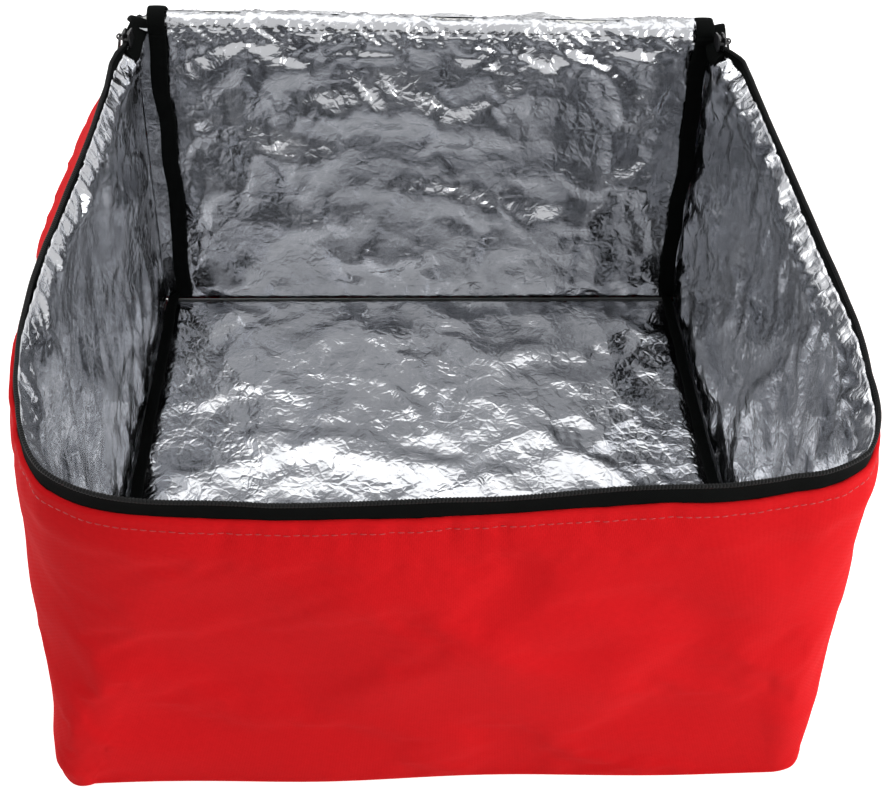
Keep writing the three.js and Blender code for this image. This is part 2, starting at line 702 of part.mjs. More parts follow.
// Lid, drawn closed: measured from the hinge line, its front towards -Y
const lidRear = hingeY - LID_STANDOFF;
const lidFoamInset = COIL_DEPTH + LID_INSET;
const lidSkinInset = lidFoamInset - PLY_GAP - TAPE;
const lidFoilBottom = hingeHeight - lidHalfThick;
const lidFoamBottom = lidFoilBottom + FOIL + PLY_GAP;
const lidSkinBottom = lidFoamBottom + FOAM + PLY_GAP;
const lidTop = lidSkinBottom + SKIN;

function lidPly(inset, bottom, top) {
  const path = pathBetween(mouthPlace(lidRear), 5 - mouthPlace(lidRear));
  const outline = path.map((u) => wallPoint(u, WALL_HEIGHT, inset)).map(({ x, y }) => new THREE.Vector2(x, y - hingeY));
  outline[0].y = -LID_STANDOFF;
  outline[outline.length - 1].y = -LID_STANDOFF;
  return plate(outline, bottom - hingeHeight, top - hingeHeight);
}

const lidTapeInset = LID_INSET - PLY_GAP - TAPE / 2;
const lidTapeLine = [
  [0, lidCoilTop + PLY_GAP],
  [0, lidCoilTop + LID_TAPE_STRAIGHT],
  [-lidTapeInset, lidFoilBottom],
  [-lidTapeInset, lidSkinBottom - PLY_GAP],
];
const lidZipPath = pathBetween(mouthPlace(hingeY - LID_TAPE_START), 5 - mouthPlace(hingeY - LID_TAPE_START));

function lidZipTape() {
  const geometry = sweep(tapeSection(lidTapeLine), mouthFrames(lidZipPath, COIL_DEPTH));
  return geometry.translate(0, -hingeY, -hingeHeight);
}

function lidZipCoil() {
  const geometry = sweep(coilSection(lidCoilBottom, lidCoilTop), mouthFrames(lidZipPath, COIL_DEPTH));
  return geometry.translate(0, -hingeY, -hingeHeight);
}

// Thrown back, the lid's far edge rests on the floor, and this is its slope there in radians.
const lidReach = hingeY - wallPoint(2.5, WALL_HEIGHT, lidSkinInset).y;
const lidUnderside = lidTop - hingeHeight;
const lidSlope =
  Math.asin((hingeHeight - LID_FLOOR_CLEARANCE) / Math.hypot(lidReach, lidUnderside)) -
  Math.atan2(lidUnderside, lidReach);

const finish = (color, roughness, metalness = 0) => new THREE.MeshStandardMaterial({ color, roughness, metalness });
const redSkin = finish(0xc9181f, 0.75);
const blackTape = finish(0x0d0f0e, 0.85);
const foilFace = finish(0xc4c6c9, 0.25, 0.9);
const whiteFoam = finish(0xf0f0ee, 0.9);
const greyBoard = finish(0xb9bcc0, 0.6);
const blackMetal = finish(0x1a1a1b, 0.4, 0.6);

function mesh(name, geometry, material) {
  const made = new THREE.Mesh(geometry, material);
  made.name = name;
  return made;
}

const bag = new THREE.Group();
bag.name = "insulated_bag";
const midCorner = 1.5;
const buttGap = 0.004;
const skinHeights = [...wallHeights, WALL_HEIGHT + SKIN_TURNOVER];
const foilHeights = [...wallHeights, WALL_HEIGHT + FOIL_TURNOVER];
const foamPly = (from, to) => wallPly(pathBetween(from, to), wallHeights, foamOuter, foamInner);

bag.add(
  mesh("outer_wall_wrap", wallPly(wallPath, skinHeights, 0, SKIN), redSkin),
  mesh("outer_back_panel", backPly(0, SKIN), redSkin),
  mesh("outer_base_panel", plate(baseOutline(0, 0, backFace), 0, SKIN), redSkin),
  mesh("foam_left", foamPly(0, midCorner - buttGap), whiteFoam),
  mesh("foam_front", foamPly(midCorner + buttGap, 5 - midCorner - buttGap), whiteFoam),
  mesh("foam_right", foamPly(5 - midCorner + buttGap, 5), whiteFoam),
  mesh("foam_back", backPly(foamOuter, foamInner), whiteFoam),
  mesh("lining_wall_wrap", wallPly(wallPath, foilHeights, foilOuter, foilInner), foilFace),
  mesh("lining_back", backPly(foilOuter, foilInner), foilFace),
);

const baseLayer = (bottom, top) => plate(baseOutline(top, baseInset, baseBack), bottom, top);
bag.add(
  mesh("foam_base", baseLayer(wallBottom, baseFoamTop), whiteFoam),
  mesh("base_board", baseLayer(boardBottom, boardTop), greyBoard),
  mesh("lining_base", floorFoil(), foilFace),
  mesh("seam_binding", seamBinding(), blackTape),
  mesh("body_zip_tape", bodyZipTape(), blackTape),
  mesh("body_zip_coil", bodyZipCoil(), blackTape),
  mesh("hinge_fold", hingeFold(), foilFace),
);

for (const [word, side] of [
  ["left", -1],
  ["right", 1],
]) {
  bag.add(
    mesh(`${word}_zip_stop`, zipStop(side), blackMetal),
    mesh(`${word}_zip_end`, zipEnd(side), blackTape),
    mesh(`${word}_handle_front_patch`, webbingPatch(side, -1), blackTape),
    mesh(`${word}_handle_rear_patch`, webbingPatch(side, 1), blackTape),
    mesh(`${word}_handle_loop`, webbingLoop(side), blackTape),
  );
  const { rest, along } = sliderTrack(side);
  const slider = new THREE.Group();
  slider.name = `${word}_slider`;
  slider.position.copy(rest);
  slider.rotation.z = Math.atan2(along.y, along.x);
  const body = mesh(`${word}_slider_body`, sliderBody(), blackMetal);
  const pull = mesh(`${word}_slider_pull`, pullTab(), blackMetal);
  body.rotation.x = side < 0 ? Math.PI : 0;
  pull.rotation.x = side * radians(PULL_HANG);
  pull.position.y = side * pullAxisOut;
  slider.add(body, pull);
  bag.add(slider);
}

const lid = new THREE.Group();
lid.name = "lid";
lid.position.set(0, hingeY, hingeHeight);
lid.rotation.x = -(Math.PI + lidSlope);
lid.add(
  mesh("lid_outer_panel", lidPly(lidSkinInset, lidSkinBottom, lidTop), redSkin),
  mesh("lid_foam", lidPly(lidFoamInset, lidFoamBottom, lidFoamBottom + FOAM), whiteFoam),
  mesh("lid_lining", lidPly(lidFoamInset, lidFoilBottom, lidFoilBottom + FOIL), foilFace),
  mesh("lid_zip_tape", lidZipTape(), blackTape),
  mesh("lid_zip_coil", lidZipCoil(), blackTape),
);
bag.add(lid);

export default bag;
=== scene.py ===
"""An insulated carrier bag, 400 x 400 mm on the floor, that stands open with its lid thrown back.
A matt red woven skin, foam and a bright foil lining are sewn together at a black coil zip. Sizes are in
millimetres until a mesh is made, and +Y is the back, where the lid turns on a fold of the cloth."""
import math

import bmesh
import bpy
import numpy as np
from mathutils import Matrix, Vector


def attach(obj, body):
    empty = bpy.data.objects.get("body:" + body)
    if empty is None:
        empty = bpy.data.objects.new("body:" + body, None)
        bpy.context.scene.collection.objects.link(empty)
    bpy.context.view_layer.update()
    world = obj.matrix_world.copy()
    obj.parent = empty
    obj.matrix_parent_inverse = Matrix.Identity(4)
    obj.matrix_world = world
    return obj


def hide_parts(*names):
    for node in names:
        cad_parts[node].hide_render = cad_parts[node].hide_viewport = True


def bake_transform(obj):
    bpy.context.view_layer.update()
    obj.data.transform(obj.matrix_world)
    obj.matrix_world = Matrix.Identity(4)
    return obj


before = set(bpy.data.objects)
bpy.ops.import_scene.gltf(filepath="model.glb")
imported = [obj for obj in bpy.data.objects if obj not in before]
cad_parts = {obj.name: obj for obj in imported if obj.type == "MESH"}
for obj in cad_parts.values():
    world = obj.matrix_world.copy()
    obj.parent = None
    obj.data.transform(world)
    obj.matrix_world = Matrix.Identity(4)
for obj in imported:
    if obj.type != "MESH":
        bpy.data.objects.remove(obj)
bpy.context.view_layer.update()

MM = 0.001

# The bag's outline on the floor and at the mouth
BASE_WIDTH = 400
BASE_DEPTH = 400
BASE_CORNER = 16
MOUTH_BACK_WIDTH = 384
MOUTH_WIDTH = 412
MOUTH_CORNER_ACROSS = 100
MOUTH_CORNER_ALONG = 112.5
MOUTH_CORNER_FULLNESS = 2.8
MOUTH_FRONT_TAPER = 1.5
FRONT_BOW = 5.5
WALL_HEIGHT = 217
SIDE_SWELL = 8
FRONT_SWELL = 5
BACK_SWELL = 3
SWELL_SKEW = 1.9

# Depths of the plies behind the skin's face, and the layers of the base
PLY_GAP = 0.3
FOAM_OUTER = 1.3
FOAM_INNER = 5.8
FOIL_INNER = 6.8
BASE_INSET = 7.6
FLOOR_FOIL_TOP = 10.1
SKIN_THICK = 0.9
LID_SKIN_THICK = 0.8
FOLD_SKIN_THICK = 0.7
FOIL_THICK = 0.25

# The back wall, the hinge line over it and the lid
BACK_FACE = 200
WRAP_END = 192.9
CORNER_RADIUS = 7
HINGE_Y = 196.6
HINGE_HEIGHT = 243
HINGE_WIDTH = 336
HINGE_SHOULDER = 5
BACK_TOP = 235.35
LID_STANDOFF = 5.5
LID_TOP = 246.25
LID_SKIN_INSET = 10.4
LID_FOAM_INSET = 11.5
LID_FLOOR_CLEARANCE = 0.4
LID_TAPE_START = 22
LID_CORNER_DROOP = 7
LID_ZIP_TUCK = 7
LID_TAPE_INSET = 4.8

# Zip, webbing and binding
ZIP_DEPTH = 6
BODY_COIL_BOTTOM = 229.6
BODY_COIL_TOP = 232.0
LID_COIL_BOTTOM = 233.6
LID_COIL_TOP = 236.0
COIL_THICK = 2.0
COIL_PITCH = 1.55
TAPE_THICK = 0.8
CORNER_TAPE_WIDTH = 12.5
CORNER_TAPE_THICK = 1.8
WEBBING_WIDTH = 30
WEBBING_THICK = 1.8
LOOP_SPACING = 130
LOOP_CENTRE_BACK = 10
LOOP_HEIGHT = 150
LOOP_DROP = 112
PATCH_HEIGHT = 58
PATCH_GAP = 0.5
LOOP_GAP = 1.5
BINDING_WIDTH = 11
BINDING_THICK = 1.5
BINDING_TILT = math.radians(35)
BINDING_SET_IN = 7
BINDING_ZONE = 26
RIGHT_END_OUT = 6.3

# The skin's hem, its soft roll and the stitches between them, and the pitch of each kind of stitch
HEM_LIFT = 2.8
ROLL_HEIGHT = 203
TOPSTITCH = 214.0
RIM_STITCH = 4.0
PATCH_STITCH = 3.6
FOLD_STITCH = 4.4

# Where the mouth's zip starts on the sides, the height that girths are measured at, a point inside
# the bag and the way up
BODY_TAPE_START = WRAP_END - 4.6
BODY_COIL_START = WRAP_END - 6.1
GIRTH_HEIGHT = 150
INSIDE = (0, 0, 120)
UP = np.array([0.0, 0.0, 1.0])

SIDES = {-1: "left", 1: "right"}


# Curves and grids of points, in millimetres

def mix(a, b, share):
    return a + (b - a) * share


def smooth(low, high, value):
    """0 below low, 1 above high, and a soft step between them."""
    share = np.clip((np.asarray(value, float) - low) / (high - low), 0, 1)
    return share * share * (3 - 2 * share)


def clear_of_ends(low, high, along):
    """0 within low of either end of a line, 1 further in than high."""
    return smooth(low, high, along) * smooth(low, high, along[-1] - along)


def hump(value, middle, width):
    return np.exp(-(((value - middle) / width) ** 2))


def unit(vectors):
    return vectors / np.maximum(np.linalg.norm(vectors, axis=-1, keepdims=True), 1e-9)


def way_of(line):
    """The direction along a line at each of its points."""
    return unit(np.gradient(line, axis=0))


def looked_up(table, place):
    """The value at a place, between the rows of a table of places and values."""
    return np.interp(place, *np.array(table).T)


def joined(*parts):
    """Coordinates that are given apart, as one grid of points."""
    return np.stack(np.broadcast_arrays(*parts), -1)


def ripple(x, y, wavelength, seed, waves=14):
    """Soft irregular waves over a surface, about 1 high, from a fixed set of plane waves."""
    chance = np.random.default_rng(seed)
    total = np.zeros(np.broadcast(x, y).shape)
    for _ in range(waves):
        angle, phase = chance.uniform(0, 2 * math.pi, 2)
        pace = 2 * math.pi / wavelength * chance.uniform(0.7, 1.5)
        total += np.sin(pace * (x * math.cos(angle) + y * math.sin(angle)) + phase)
    return total / math.sqrt(waves / 2)


def wall_outline(u, height):
    """The skin's outline at a height: u runs 0 to 1 down the left side, 1 to 2 round the left front corner,
    2 to 3 along the front, and on in mirror image to 5 at the back of the right side."""
    u, height = np.broadcast_arrays(np.asarray(u, float), np.asarray(height, float))
    half = np.where(u > 2.5, 5 - u, u)
    rise = np.clip(height / WALL_HEIGHT, 0, 1)
    swell = np.sin(math.pi * rise**SWELL_SKEW)
    back_half = mix(BASE_WIDTH, MOUTH_BACK_WIDTH, rise) / 2
    side_half = mix(BASE_WIDTH, MOUTH_WIDTH, rise) / 2
    across = mix(BASE_CORNER, MOUTH_CORNER_ACROSS, rise)
    along = mix(BASE_CORNER, MOUTH_CORNER_ALONG, rise)
    power = 2 / mix(2, MOUTH_CORNER_FULLNESS, rise)
    front = -BASE_DEPTH / 2 + MOUTH_FRONT_TAPER * rise
    bulge = SIDE_SWELL * swell * np.sin(math.pi * np.clip(half, 0, 1)) ** 2
    turn = np.clip(half - 1, 0, 1) * math.pi / 2
    bow = (FRONT_BOW * rise + FRONT_SWELL * swell) * np.sin(math.pi * np.clip(half - 2, 0, 1)) ** 2
    side_x = -mix(back_half, side_half, half) - bulge
    side_y = mix(WRAP_END, front + along, half)
    corner_x = -(side_half - across) - across * np.maximum(np.cos(turn), 0) ** power
    corner_y = front + along - along * np.maximum(np.sin(turn), 0) ** power
    front_x = mix(-1, 1, np.clip(half - 2, 0, 1)) * (side_half - across)
    x = np.where(half <= 1, side_x, np.where(half <= 2, corner_x, front_x))
    y = np.where(half <= 1, side_y, np.where(half <= 2, corner_y, front - bow))
    out = slack_rim(u, height)
    around = smooth(1, 2, half) * math.pi / 2
    x = x - out * np.cos(around)
    return np.stack([np.where(u > 2.5, -x, x), y - out * np.sin(around)], -1)


# How far the soft rim stands out of true, by the place along the wall
RIM_SWAY = [
    (0.0, 0.0), (0.06, 0.0), (0.14, 2.0), (0.26, 1.0), (0.55, -0.5), (0.78, 0.8), (0.9, 0.0),
    (1.0, -1.5), (1.1, -4.0), (1.25, -6.0), (1.4, -4.0), (1.6, 1.0), (2.0, 4.5), (2.15, 4.6),
    (2.3, 2.0), (2.5, -1.2), (2.7, -1.8), (3.0, -1.8), (3.1, -3.2), (3.2, -3.4), (3.3, -0.5),
    (3.5, 3.5), (3.7, 1.2), (3.85, -1.0), (4.0, 0.0), (4.2, 1.0), (4.35, 2.6), (4.5, 5.0),
    (4.65, 6.6), (4.8, 7.4), (4.88, 6.6), (4.92, 3.6), (4.95, 0.5), (5.0, 0.0),
]

# How far each front corner stands out of true, by height
LEFT_CORNER = [
    (0, 3), (15, 6), (30, 5), (50, 2), (65, 0), (100, -2.5), (160, -3), (195, -2.2), (206, -1.8),
    (217, -1.6),
]
RIGHT_CORNER = [
    (0, 2), (12, 2.5), (30, 4.5), (50, 6), (65, 5), (85, 3), (105, 1.8), (140, 1.5), (175, 1),
    (217, -0.5),
]


def slack_rim(u, height):
    """How far the soft wall stands out of its sewn shape: its rim sways in and out of true, and each of its
    front corners is full low down. The rim keeps to its line where the sliders park, and at the floor."""
    rim = looked_up(RIM_SWAY, u) * smooth(120, 217, height)
    left = smooth(0.6, 1.25, u) * (1 - smooth(1.45, 2.1, u)) * looked_up(LEFT_CORNER, height)
    right = smooth(2.9, 3.55, u) * (1 - smooth(3.75, 4.4, u)) * looked_up(RIGHT_CORNER, height)
    return rim + left + right


def wall_normal(u, height):
    """The level direction out of the wall."""
    step = 0.004
    run = wall_outline(np.minimum(u + step, 5), height) - wall_outline(np.maximum(u - step, 0), height)
    level = unit(np.stack([run[..., 1], -run[..., 0]], -1))
    return np.concatenate([level, np.zeros(level.shape[:-1] + (1,))], -1)


def wall_point(u, height, depth):
    """A point of the wall at a depth behind the skin's face."""
    u, height, depth = np.broadcast_arrays(*(np.asarray(v, float) for v in (u, height, depth)))
    outline = wall_outline(u, height)
    return np.concatenate([outline, height[..., None]], -1) - wall_normal(u, height) * depth[..., None]


def walked(points):
    """The distance along a line of points."""
    return np.concatenate([[0], np.cumsum(np.linalg.norm(np.diff(points, axis=0), axis=1))])


def even_path(count, start=0.0, end=5.0, height=WALL_HEIGHT):
    """Places along the wall at even distances, and those distances."""
    fine = np.linspace(start, end, 2400)
    distance = walked(wall_outline(fine, height))
    even = np.linspace(0, distance[-1], count)
    return np.interp(even, distance, fine), even


all_places = np.linspace(0, 5, 4000)
all_girths = walked(wall_outline(all_places, GIRTH_HEIGHT))


def girth(u):
    """The distance round the wall, at the height of its girth, from the back of its left side."""
    return np.interp(u, all_places, all_girths)


def side_place(y, height=WALL_HEIGHT):
    """The place on the left side that has this y."""
    back, front = wall_outline(0, height)[..., 1], wall_outline(1, height)[..., 1]
    return (back - y) / (back - front)


def back_half_width(height):
    below = -wall_outline(0, height)[..., 0]
    shoulder = np.clip((height - WALL_HEIGHT) / HINGE_SHOULDER, 0, 1)
    return np.where(height <= WALL_HEIGHT, below, mix(MOUTH_BACK_WIDTH, HINGE_WIDTH, shoulder) / 2)


def shoulder_half_width(height, mouth, top):
    """Half the back panel's width, which narrows over the mouth to the hinge."""
    over = mix(mouth, top, smooth(WALL_HEIGHT, 235, height))
    return np.where(height <= WALL_HEIGHT, back_half_width(height) - CORNER_RADIUS, over)


def sweep_grid(section, origins, across, upward):
    """A section's points carried along origins: rows follow the section and columns the path."""
    section = np.asarray(section, float)
    return origins[None] + section[:, None, :1] * across[None] + section[:, None, 1:] * upward[None]


def turned(points, centre, direction, angle):
    """Points turned about an axis through centre."""
    turn = np.array(Matrix.Rotation(angle, 3, Vector(direction)))
    return (points - centre) @ turn.T + centre


# The lid lies where its far edge rests on the floor
hinge_line = np.array([0, HINGE_Y, HINGE_HEIGHT])
lid_reach = HINGE_Y - wall_point(2.5, WALL_HEIGHT, LID_SKIN_INSET)[1]
lid_underside = LID_TOP - HINGE_HEIGHT
lid_drop = HINGE_HEIGHT - LID_FLOOR_CLEARANCE
lid_slope = math.asin(lid_drop / math.hypot(lid_reach, lid_underside)) - math.atan2(lid_underside, lid_reach)
lid_turn = -(math.pi + lid_slope)


def hinge_sag(x):
    """How far the soft fold at the hinge hangs below its straight line, along its length."""
    return looked_up([(-HINGE_WIDTH / 2, 2.5), (0, 6.0), (HINGE_WIDTH / 2, 8.5)], x)


def sagged(points):
    """Points of the open bag, with the fold at the hinge sagging, and the cloth near it with the fold."""
    reach = np.linalg.norm((points - hinge_line)[..., 1:], axis=-1)
    over = smooth(194, 204, points[..., 1])
    share = mix(smooth(205, 238, points[..., 2]), np.exp(-reach / 40), over)
    return points - UP * (hinge_sag(points[..., 0]) * share)[..., None]


def thrown_back(points):
    """Points of the closed lid, turned about the hinge to where it lies open. It sags with the fold, and
    its corners beside the fold droop."""
    placed = sagged(turned(np.asarray(points, float), hinge_line, (1, 0, 0), lid_turn))
    reach = np.linalg.norm((placed - hinge_line)[..., 1:], axis=-1)
    droop = LID_CORNER_DROOP * smooth(166, 186, np.abs(placed[..., 0])) * np.exp(-reach / 45)
    return placed - UP * droop[..., None]


# Meshes

def in_scene(name, data):
    """A new object of this data, with smooth shading where it is a mesh."""
    made = bpy.data.objects.new(name, data)
    bpy.context.scene.collection.objects.link(made)
    if isinstance(data, bpy.types.Mesh) and data.polygons:
        data.polygons.foreach_set("use_smooth", [True] * len(data.polygons))
    return made


def finish_mesh(name, points, faces, uv=None):
    """A mesh object from points in millimetres, with its faces turned outwards."""
    points = np.asarray(points, float).reshape(-1, 3)
    mesh = bpy.data.meshes.new(name)
    mesh.from_pydata((points * MM).tolist(), [], [list(map(int, face)) for face in faces])
    if uv is not None:
        corner = np.zeros(len(mesh.loops), int)
        mesh.loops.foreach_get("vertex_index", corner)
        layer = mesh.uv_layers.new(name="cloth")
        layer.data.foreach_set("uv", (uv.reshape(-1, 2) * MM)[corner].ravel())
    made = in_scene(name, mesh)
    face_out(mesh)
    return made


def face_out(mesh):
    """Turns a closed mesh so that its faces point outwards, judged by its volume."""
    work = bmesh.new()
    work.from_mesh(mesh)
    if work.calc_volume(signed=True) < 0:
        bmesh.ops.reverse_faces(work, faces=work.faces)
    work.to_mesh(mesh)
    work.free()


def grid_faces(rows, columns, first=0, wrap=False):
    index = first + np.arange(rows * columns).reshape(rows, columns)
    if wrap:
        index = np.concatenate([index, index[:1]], 0)
    return np.stack([index[:-1, :-1], index[:-1, 1:], index[1:, 1:], index[1:, :-1]], -1).reshape(-1, 4)


def sheet(name, face, back, uv):
    """A closed sheet from the grids of points of its face and its back."""
    rows, columns = face.shape[:2]
    count = rows * columns
    front = grid_faces(rows, columns)
    behind = grid_faces(rows, columns, count)[:, ::-1]
    index = np.arange(count).reshape(rows, columns)
    edge = np.concatenate([index[0], index[1:, -1], index[-1, -2::-1], index[-2:0:-1, 0]])
    after = np.roll(edge, -1)
    rim = np.stack([after, edge, edge + count, after + count], -1)
    points = np.concatenate([face.reshape(-1, 3), back.reshape(-1, 3)])
    uvs = np.concatenate([uv.reshape(-1, 2)] * 2)
    return finish_mesh(name, points, np.concatenate([front, behind, rim]), uvs)


def facing(points, towards):
    """The normals of a grid of points, on the side where a point lies."""
    normals = unit(np.cross(np.gradient(points, axis=1), np.gradient(points, axis=0)))
    middle = points.shape[0] // 2, points.shape[1] // 2
    return normals if (np.asarray(towards, float) - points[middle]) @ normals[middle] > 0 else -normals


def thick_sheet(name, face, thick, uv, towards):
    """A sheet of even thickness behind its face. Towards is a point on the side of the thickness."""
    return sheet(name, face, face + facing(face, towards) * thick, uv)


def strip(name, section, origins, across, upward):
    """A closed band: a closed section carried along a path, with flat ends."""
    grid = sweep_grid(section, origins, across, upward)
    rows, columns = grid.shape[:2]
    first = np.arange(0, rows * columns, columns)
    around = walked(np.append(section, section[:1], 0))[:-1]
    uv = joined(walked(origins)[None], around[:, None])
    faces = [*grid_faces(rows, columns, wrap=True), first, first[::-1] + columns - 1]
    return finish_mesh(name, grid, faces, uv)


def rounded_section(width, thick, crown, steps=10):
    """A flat band's section with round edges, a little thicker in the middle."""
    half, radius = width / 2, thick / 2
    across = np.linspace(-half + radius, half - radius, steps)
    rise = radius + crown * (1 - (across / half) ** 2)
    turn = np.linspace(-math.pi / 2, math.pi / 2, 5)[1:-1]
    right = np.stack([half - radius + radius * np.cos(turn), radius * np.sin(turn)], -1)[::-1]
    left = np.stack([-half + radius - radius * np.cos(turn), radius * np.sin(turn)], -1)
    top = np.stack([across, rise], -1)
    return np.concatenate([top, right, (top * [1, -1])[::-1], left])


def spread_over(coarse, rows, columns, shape):
    """Values of some rows and columns of a grid, spread over all of them."""
    down = np.stack([np.interp(np.arange(shape[0]), rows, column) for column in coarse.T], 1)
    return np.stack([np.interp(np.arange(shape[1]), columns, row) for row in down])


CLOTH_MASS = 0.15
CLOTH_STIFFNESS = 40
SETTLING_STEPS = 16
FIRST_LUMPS = 0.1


def relaxed(points, sewn, towards, growth, low, high, seed, bending=0.25):
    """A sheet cut a little too large settles between its seams, as sewn cloth does: a cloth simulation on
    every second point of its grid. Each point moves between low and high along the normal that faces
    towards."""
    rows, columns = (np.unique(np.append(np.arange(0, count, 2), count - 1)) for count in sewn.shape)
    coarse, held = points[np.ix_(rows, columns)], sewn[np.ix_(rows, columns)]
    normals = facing(coarse, towards)
    chance = np.random.default_rng(seed)
    start = coarse + normals * (chance.normal(0, FIRST_LUMPS, (*held.shape, 1)) * ~held[..., None])
    mesh = bpy.data.meshes.new("settling")
    mesh.from_pydata((start.reshape(-1, 3) * MM).tolist(), [], grid_faces(*held.shape).tolist())
    cloth = in_scene("settling", mesh)
    cloth.vertex_groups.new(name="sewn").add(np.nonzero(held.ravel())[0].tolist(), 1.0, "REPLACE")
    modifier = cloth.modifiers.new("cloth", "CLOTH")
    modifier.collision_settings.use_collision = False
    settings = modifier.settings
    settings.quality = 5
    settings.mass = CLOTH_MASS
    settings.tension_stiffness = settings.compression_stiffness = CLOTH_STIFFNESS
    settings.shear_stiffness = CLOTH_STIFFNESS / 2
    settings.bending_stiffness = bending
    settings.air_damping = 2
    settings.shrink_min = -growth
    settings.vertex_group_mass = "sewn"
    settings.effector_weights.gravity = 0
    modifier.point_cache.frame_end = SETTLING_STEPS
    for step in range(1, SETTLING_STEPS + 1):
        bpy.context.scene.frame_set(step)
    after = np.zeros(coarse.size)
    cloth.evaluated_get(bpy.context.evaluated_depsgraph_get()).data.vertices.foreach_get("co", after)
    bpy.data.objects.remove(cloth)
    bpy.data.meshes.remove(mesh)
    bpy.context.scene.frame_set(1)
    moved = ((after.reshape(coarse.shape) / MM - coarse) * normals).sum(-1) * ~held
    moved = spread_over(np.clip(moved, low, high), rows, columns, sewn.shape)
    return points + facing(points, towards) * moved[..., None]


def held_edges(grid, low, high):
    """Marks what is sewn down: this many rows at the bottom and at the top, and both side columns."""
    sewn = np.zeros(grid.shape[:2], bool)
    sewn[:low] = sewn[-high:] = True
    sewn[:, 0] = sewn[:, -1] = True
    return sewn


# Materials

def linear(colour):
    """An sRGB hex colour as the linear values that a shader takes."""
    channels = [int(colour[i : i + 2], 16) / 255 for i in (1, 3, 5)]
    return (*[c / 12.92 if c <= 0.04045 else ((c + 0.055) / 1.055) ** 2.4 for c in channels], 1.0)


def add(tree, kind, inputs=None, **settings):
    """Adds a node, sets its properties, and fills its inputs with values or from other nodes. A node that
    is given as an input is joined by its first output. A colour mix takes its factor at 0 and its two
    colours at 6 and 7."""
    node = tree.nodes.new(kind)
    for name, value in settings.items():
        setattr(node, name, value)
    for key, value in (inputs or {}).items():
        if isinstance(value, bpy.types.Node):
            value = next(output for output in value.outputs if output.enabled)
        if isinstance(value, bpy.types.NodeSocket):
            tree.links.new(value, node.inputs[key])
        else:
            node.inputs[key].default_value = value
    return node


def material(name):
    """An empty material and its node tree."""
    made = bpy.data.materials.new(name)
    made.use_nodes = True
    made.node_tree.nodes.clear()
    return made, made.node_tree


def surfaced(made, pattern, dark, light, inputs, relief=None):
    """Ends a material. A pattern mixes its two colours, and its relief is a pattern with a depth in
    millimetres and a strength."""
    tree = made.node_tree
    tone = add(tree, "ShaderNodeMix", {0: pattern, 6: dark, 7: light}, data_type="RGBA")
    inputs = {"Base Color": tone.outputs[2], **inputs}
    if relief:
        height, depth, strength = relief
        bump = {"Height": height, "Distance": depth * MM, "Strength": strength}
        inputs["Normal"] = add(tree, "ShaderNodeBump", bump)
    shader = add(tree, "ShaderNodeBsdfPrincipled", inputs)
    add(tree, "ShaderNodeOutputMaterial", {"Surface": shader})
    return made


def threads(tree, pitch):
    """The place on the cloth, counted in threads of this pitch, across and along."""
    uv = add(tree, "ShaderNodeUVMap", uv_map="cloth")
    counted = add(tree, "ShaderNodeVectorMath", {0: uv, "Scale": 1 / (pitch * MM)}, operation="SCALE")
    split = add(tree, "ShaderNodeSeparateXYZ", {0: counted})
    return split.outputs[0], split.outputs[1]


def ribs(tree, count):
    """One wave for each two threads that a place counts, and the round ridges of the threads."""
    turn = add(tree, "ShaderNodeMath", {0: count, 1: math.pi}, operation="MULTIPLY")
    wave = add(tree, "ShaderNodeMath", {0: turn}, operation="SINE")
    return wave, add(tree, "ShaderNodeMath", {0: wave}, operation="ABSOLUTE")


def plain_weave(tree, pitch):
    """The height of a plain weave, where warp and weft threads pass over each other by turns."""
    x, y = threads(tree, pitch)
    warp, warp_ridge = ribs(tree, x)
    weft, weft_ridge = ribs(tree, y)
    both = add(tree, "ShaderNodeMath", {0: warp, 1: weft}, operation="MULTIPLY")
    over = add(tree, "ShaderNodeMath", {0: both, 1: 0.0}, operation="GREATER_THAN")
    return add(tree, "ShaderNodeMix", {0: over, 2: weft_ridge, 3: warp_ridge})


def red_polyester():
    """Coated polyester oxford cloth in plain weave: matt, a full red with a faint sheen off the yarn. Its
    threads stand 0.45 mm apart, which is too fine to show, so they are drawn 1.3 mm apart."""
    made, tree = material("red_polyester_oxford")
    place = add(tree, "ShaderNodeTexCoord").outputs["Object"]
    weave = plain_weave(tree, 1.3)
    patches = add(tree, "ShaderNodeTexNoise", {"Vector": place, "Scale": 1 / (60 * MM), "Detail": 4.0})
    slubs = add(tree, "ShaderNodeTexNoise", {"Vector": place, "Scale": 1 / (3 * MM), "Detail": 3.0})
    creases = add(tree, "ShaderNodeTexNoise", {"Vector": place, "Scale": 1 / (16 * MM), "Detail": 4.0})
    shades = {0: patches, 6: linear("#CC1016"), 7: linear("#D9151B")}
    dye = add(tree, "ShaderNodeMix", shades, data_type="RGBA")
    shades = {0: slubs, 6: linear("#C40F14"), 7: linear("#E0191F")}
    yarn = add(tree, "ShaderNodeMix", shades, data_type="RGBA")
    soft = add(tree, "ShaderNodeBump", {"Height": creases, "Distance": 0.5 * MM, "Strength": 0.35})
    woven = {"Height": weave, "Distance": 0.12 * MM, "Strength": 0.4, "Normal": soft}
    inputs = {
        "Roughness": 0.8,
        "Specular IOR Level": 0.08,
        "Sheen Weight": 0.03,
        "Sheen Roughness": 0.5,
        "Sheen Tint": linear("#F05050"),
        "Normal": add(tree, "ShaderNodeBump", woven),
    }
    return surfaced(made, 0.4, dye.outputs[2], yarn.outputs[2], inputs)


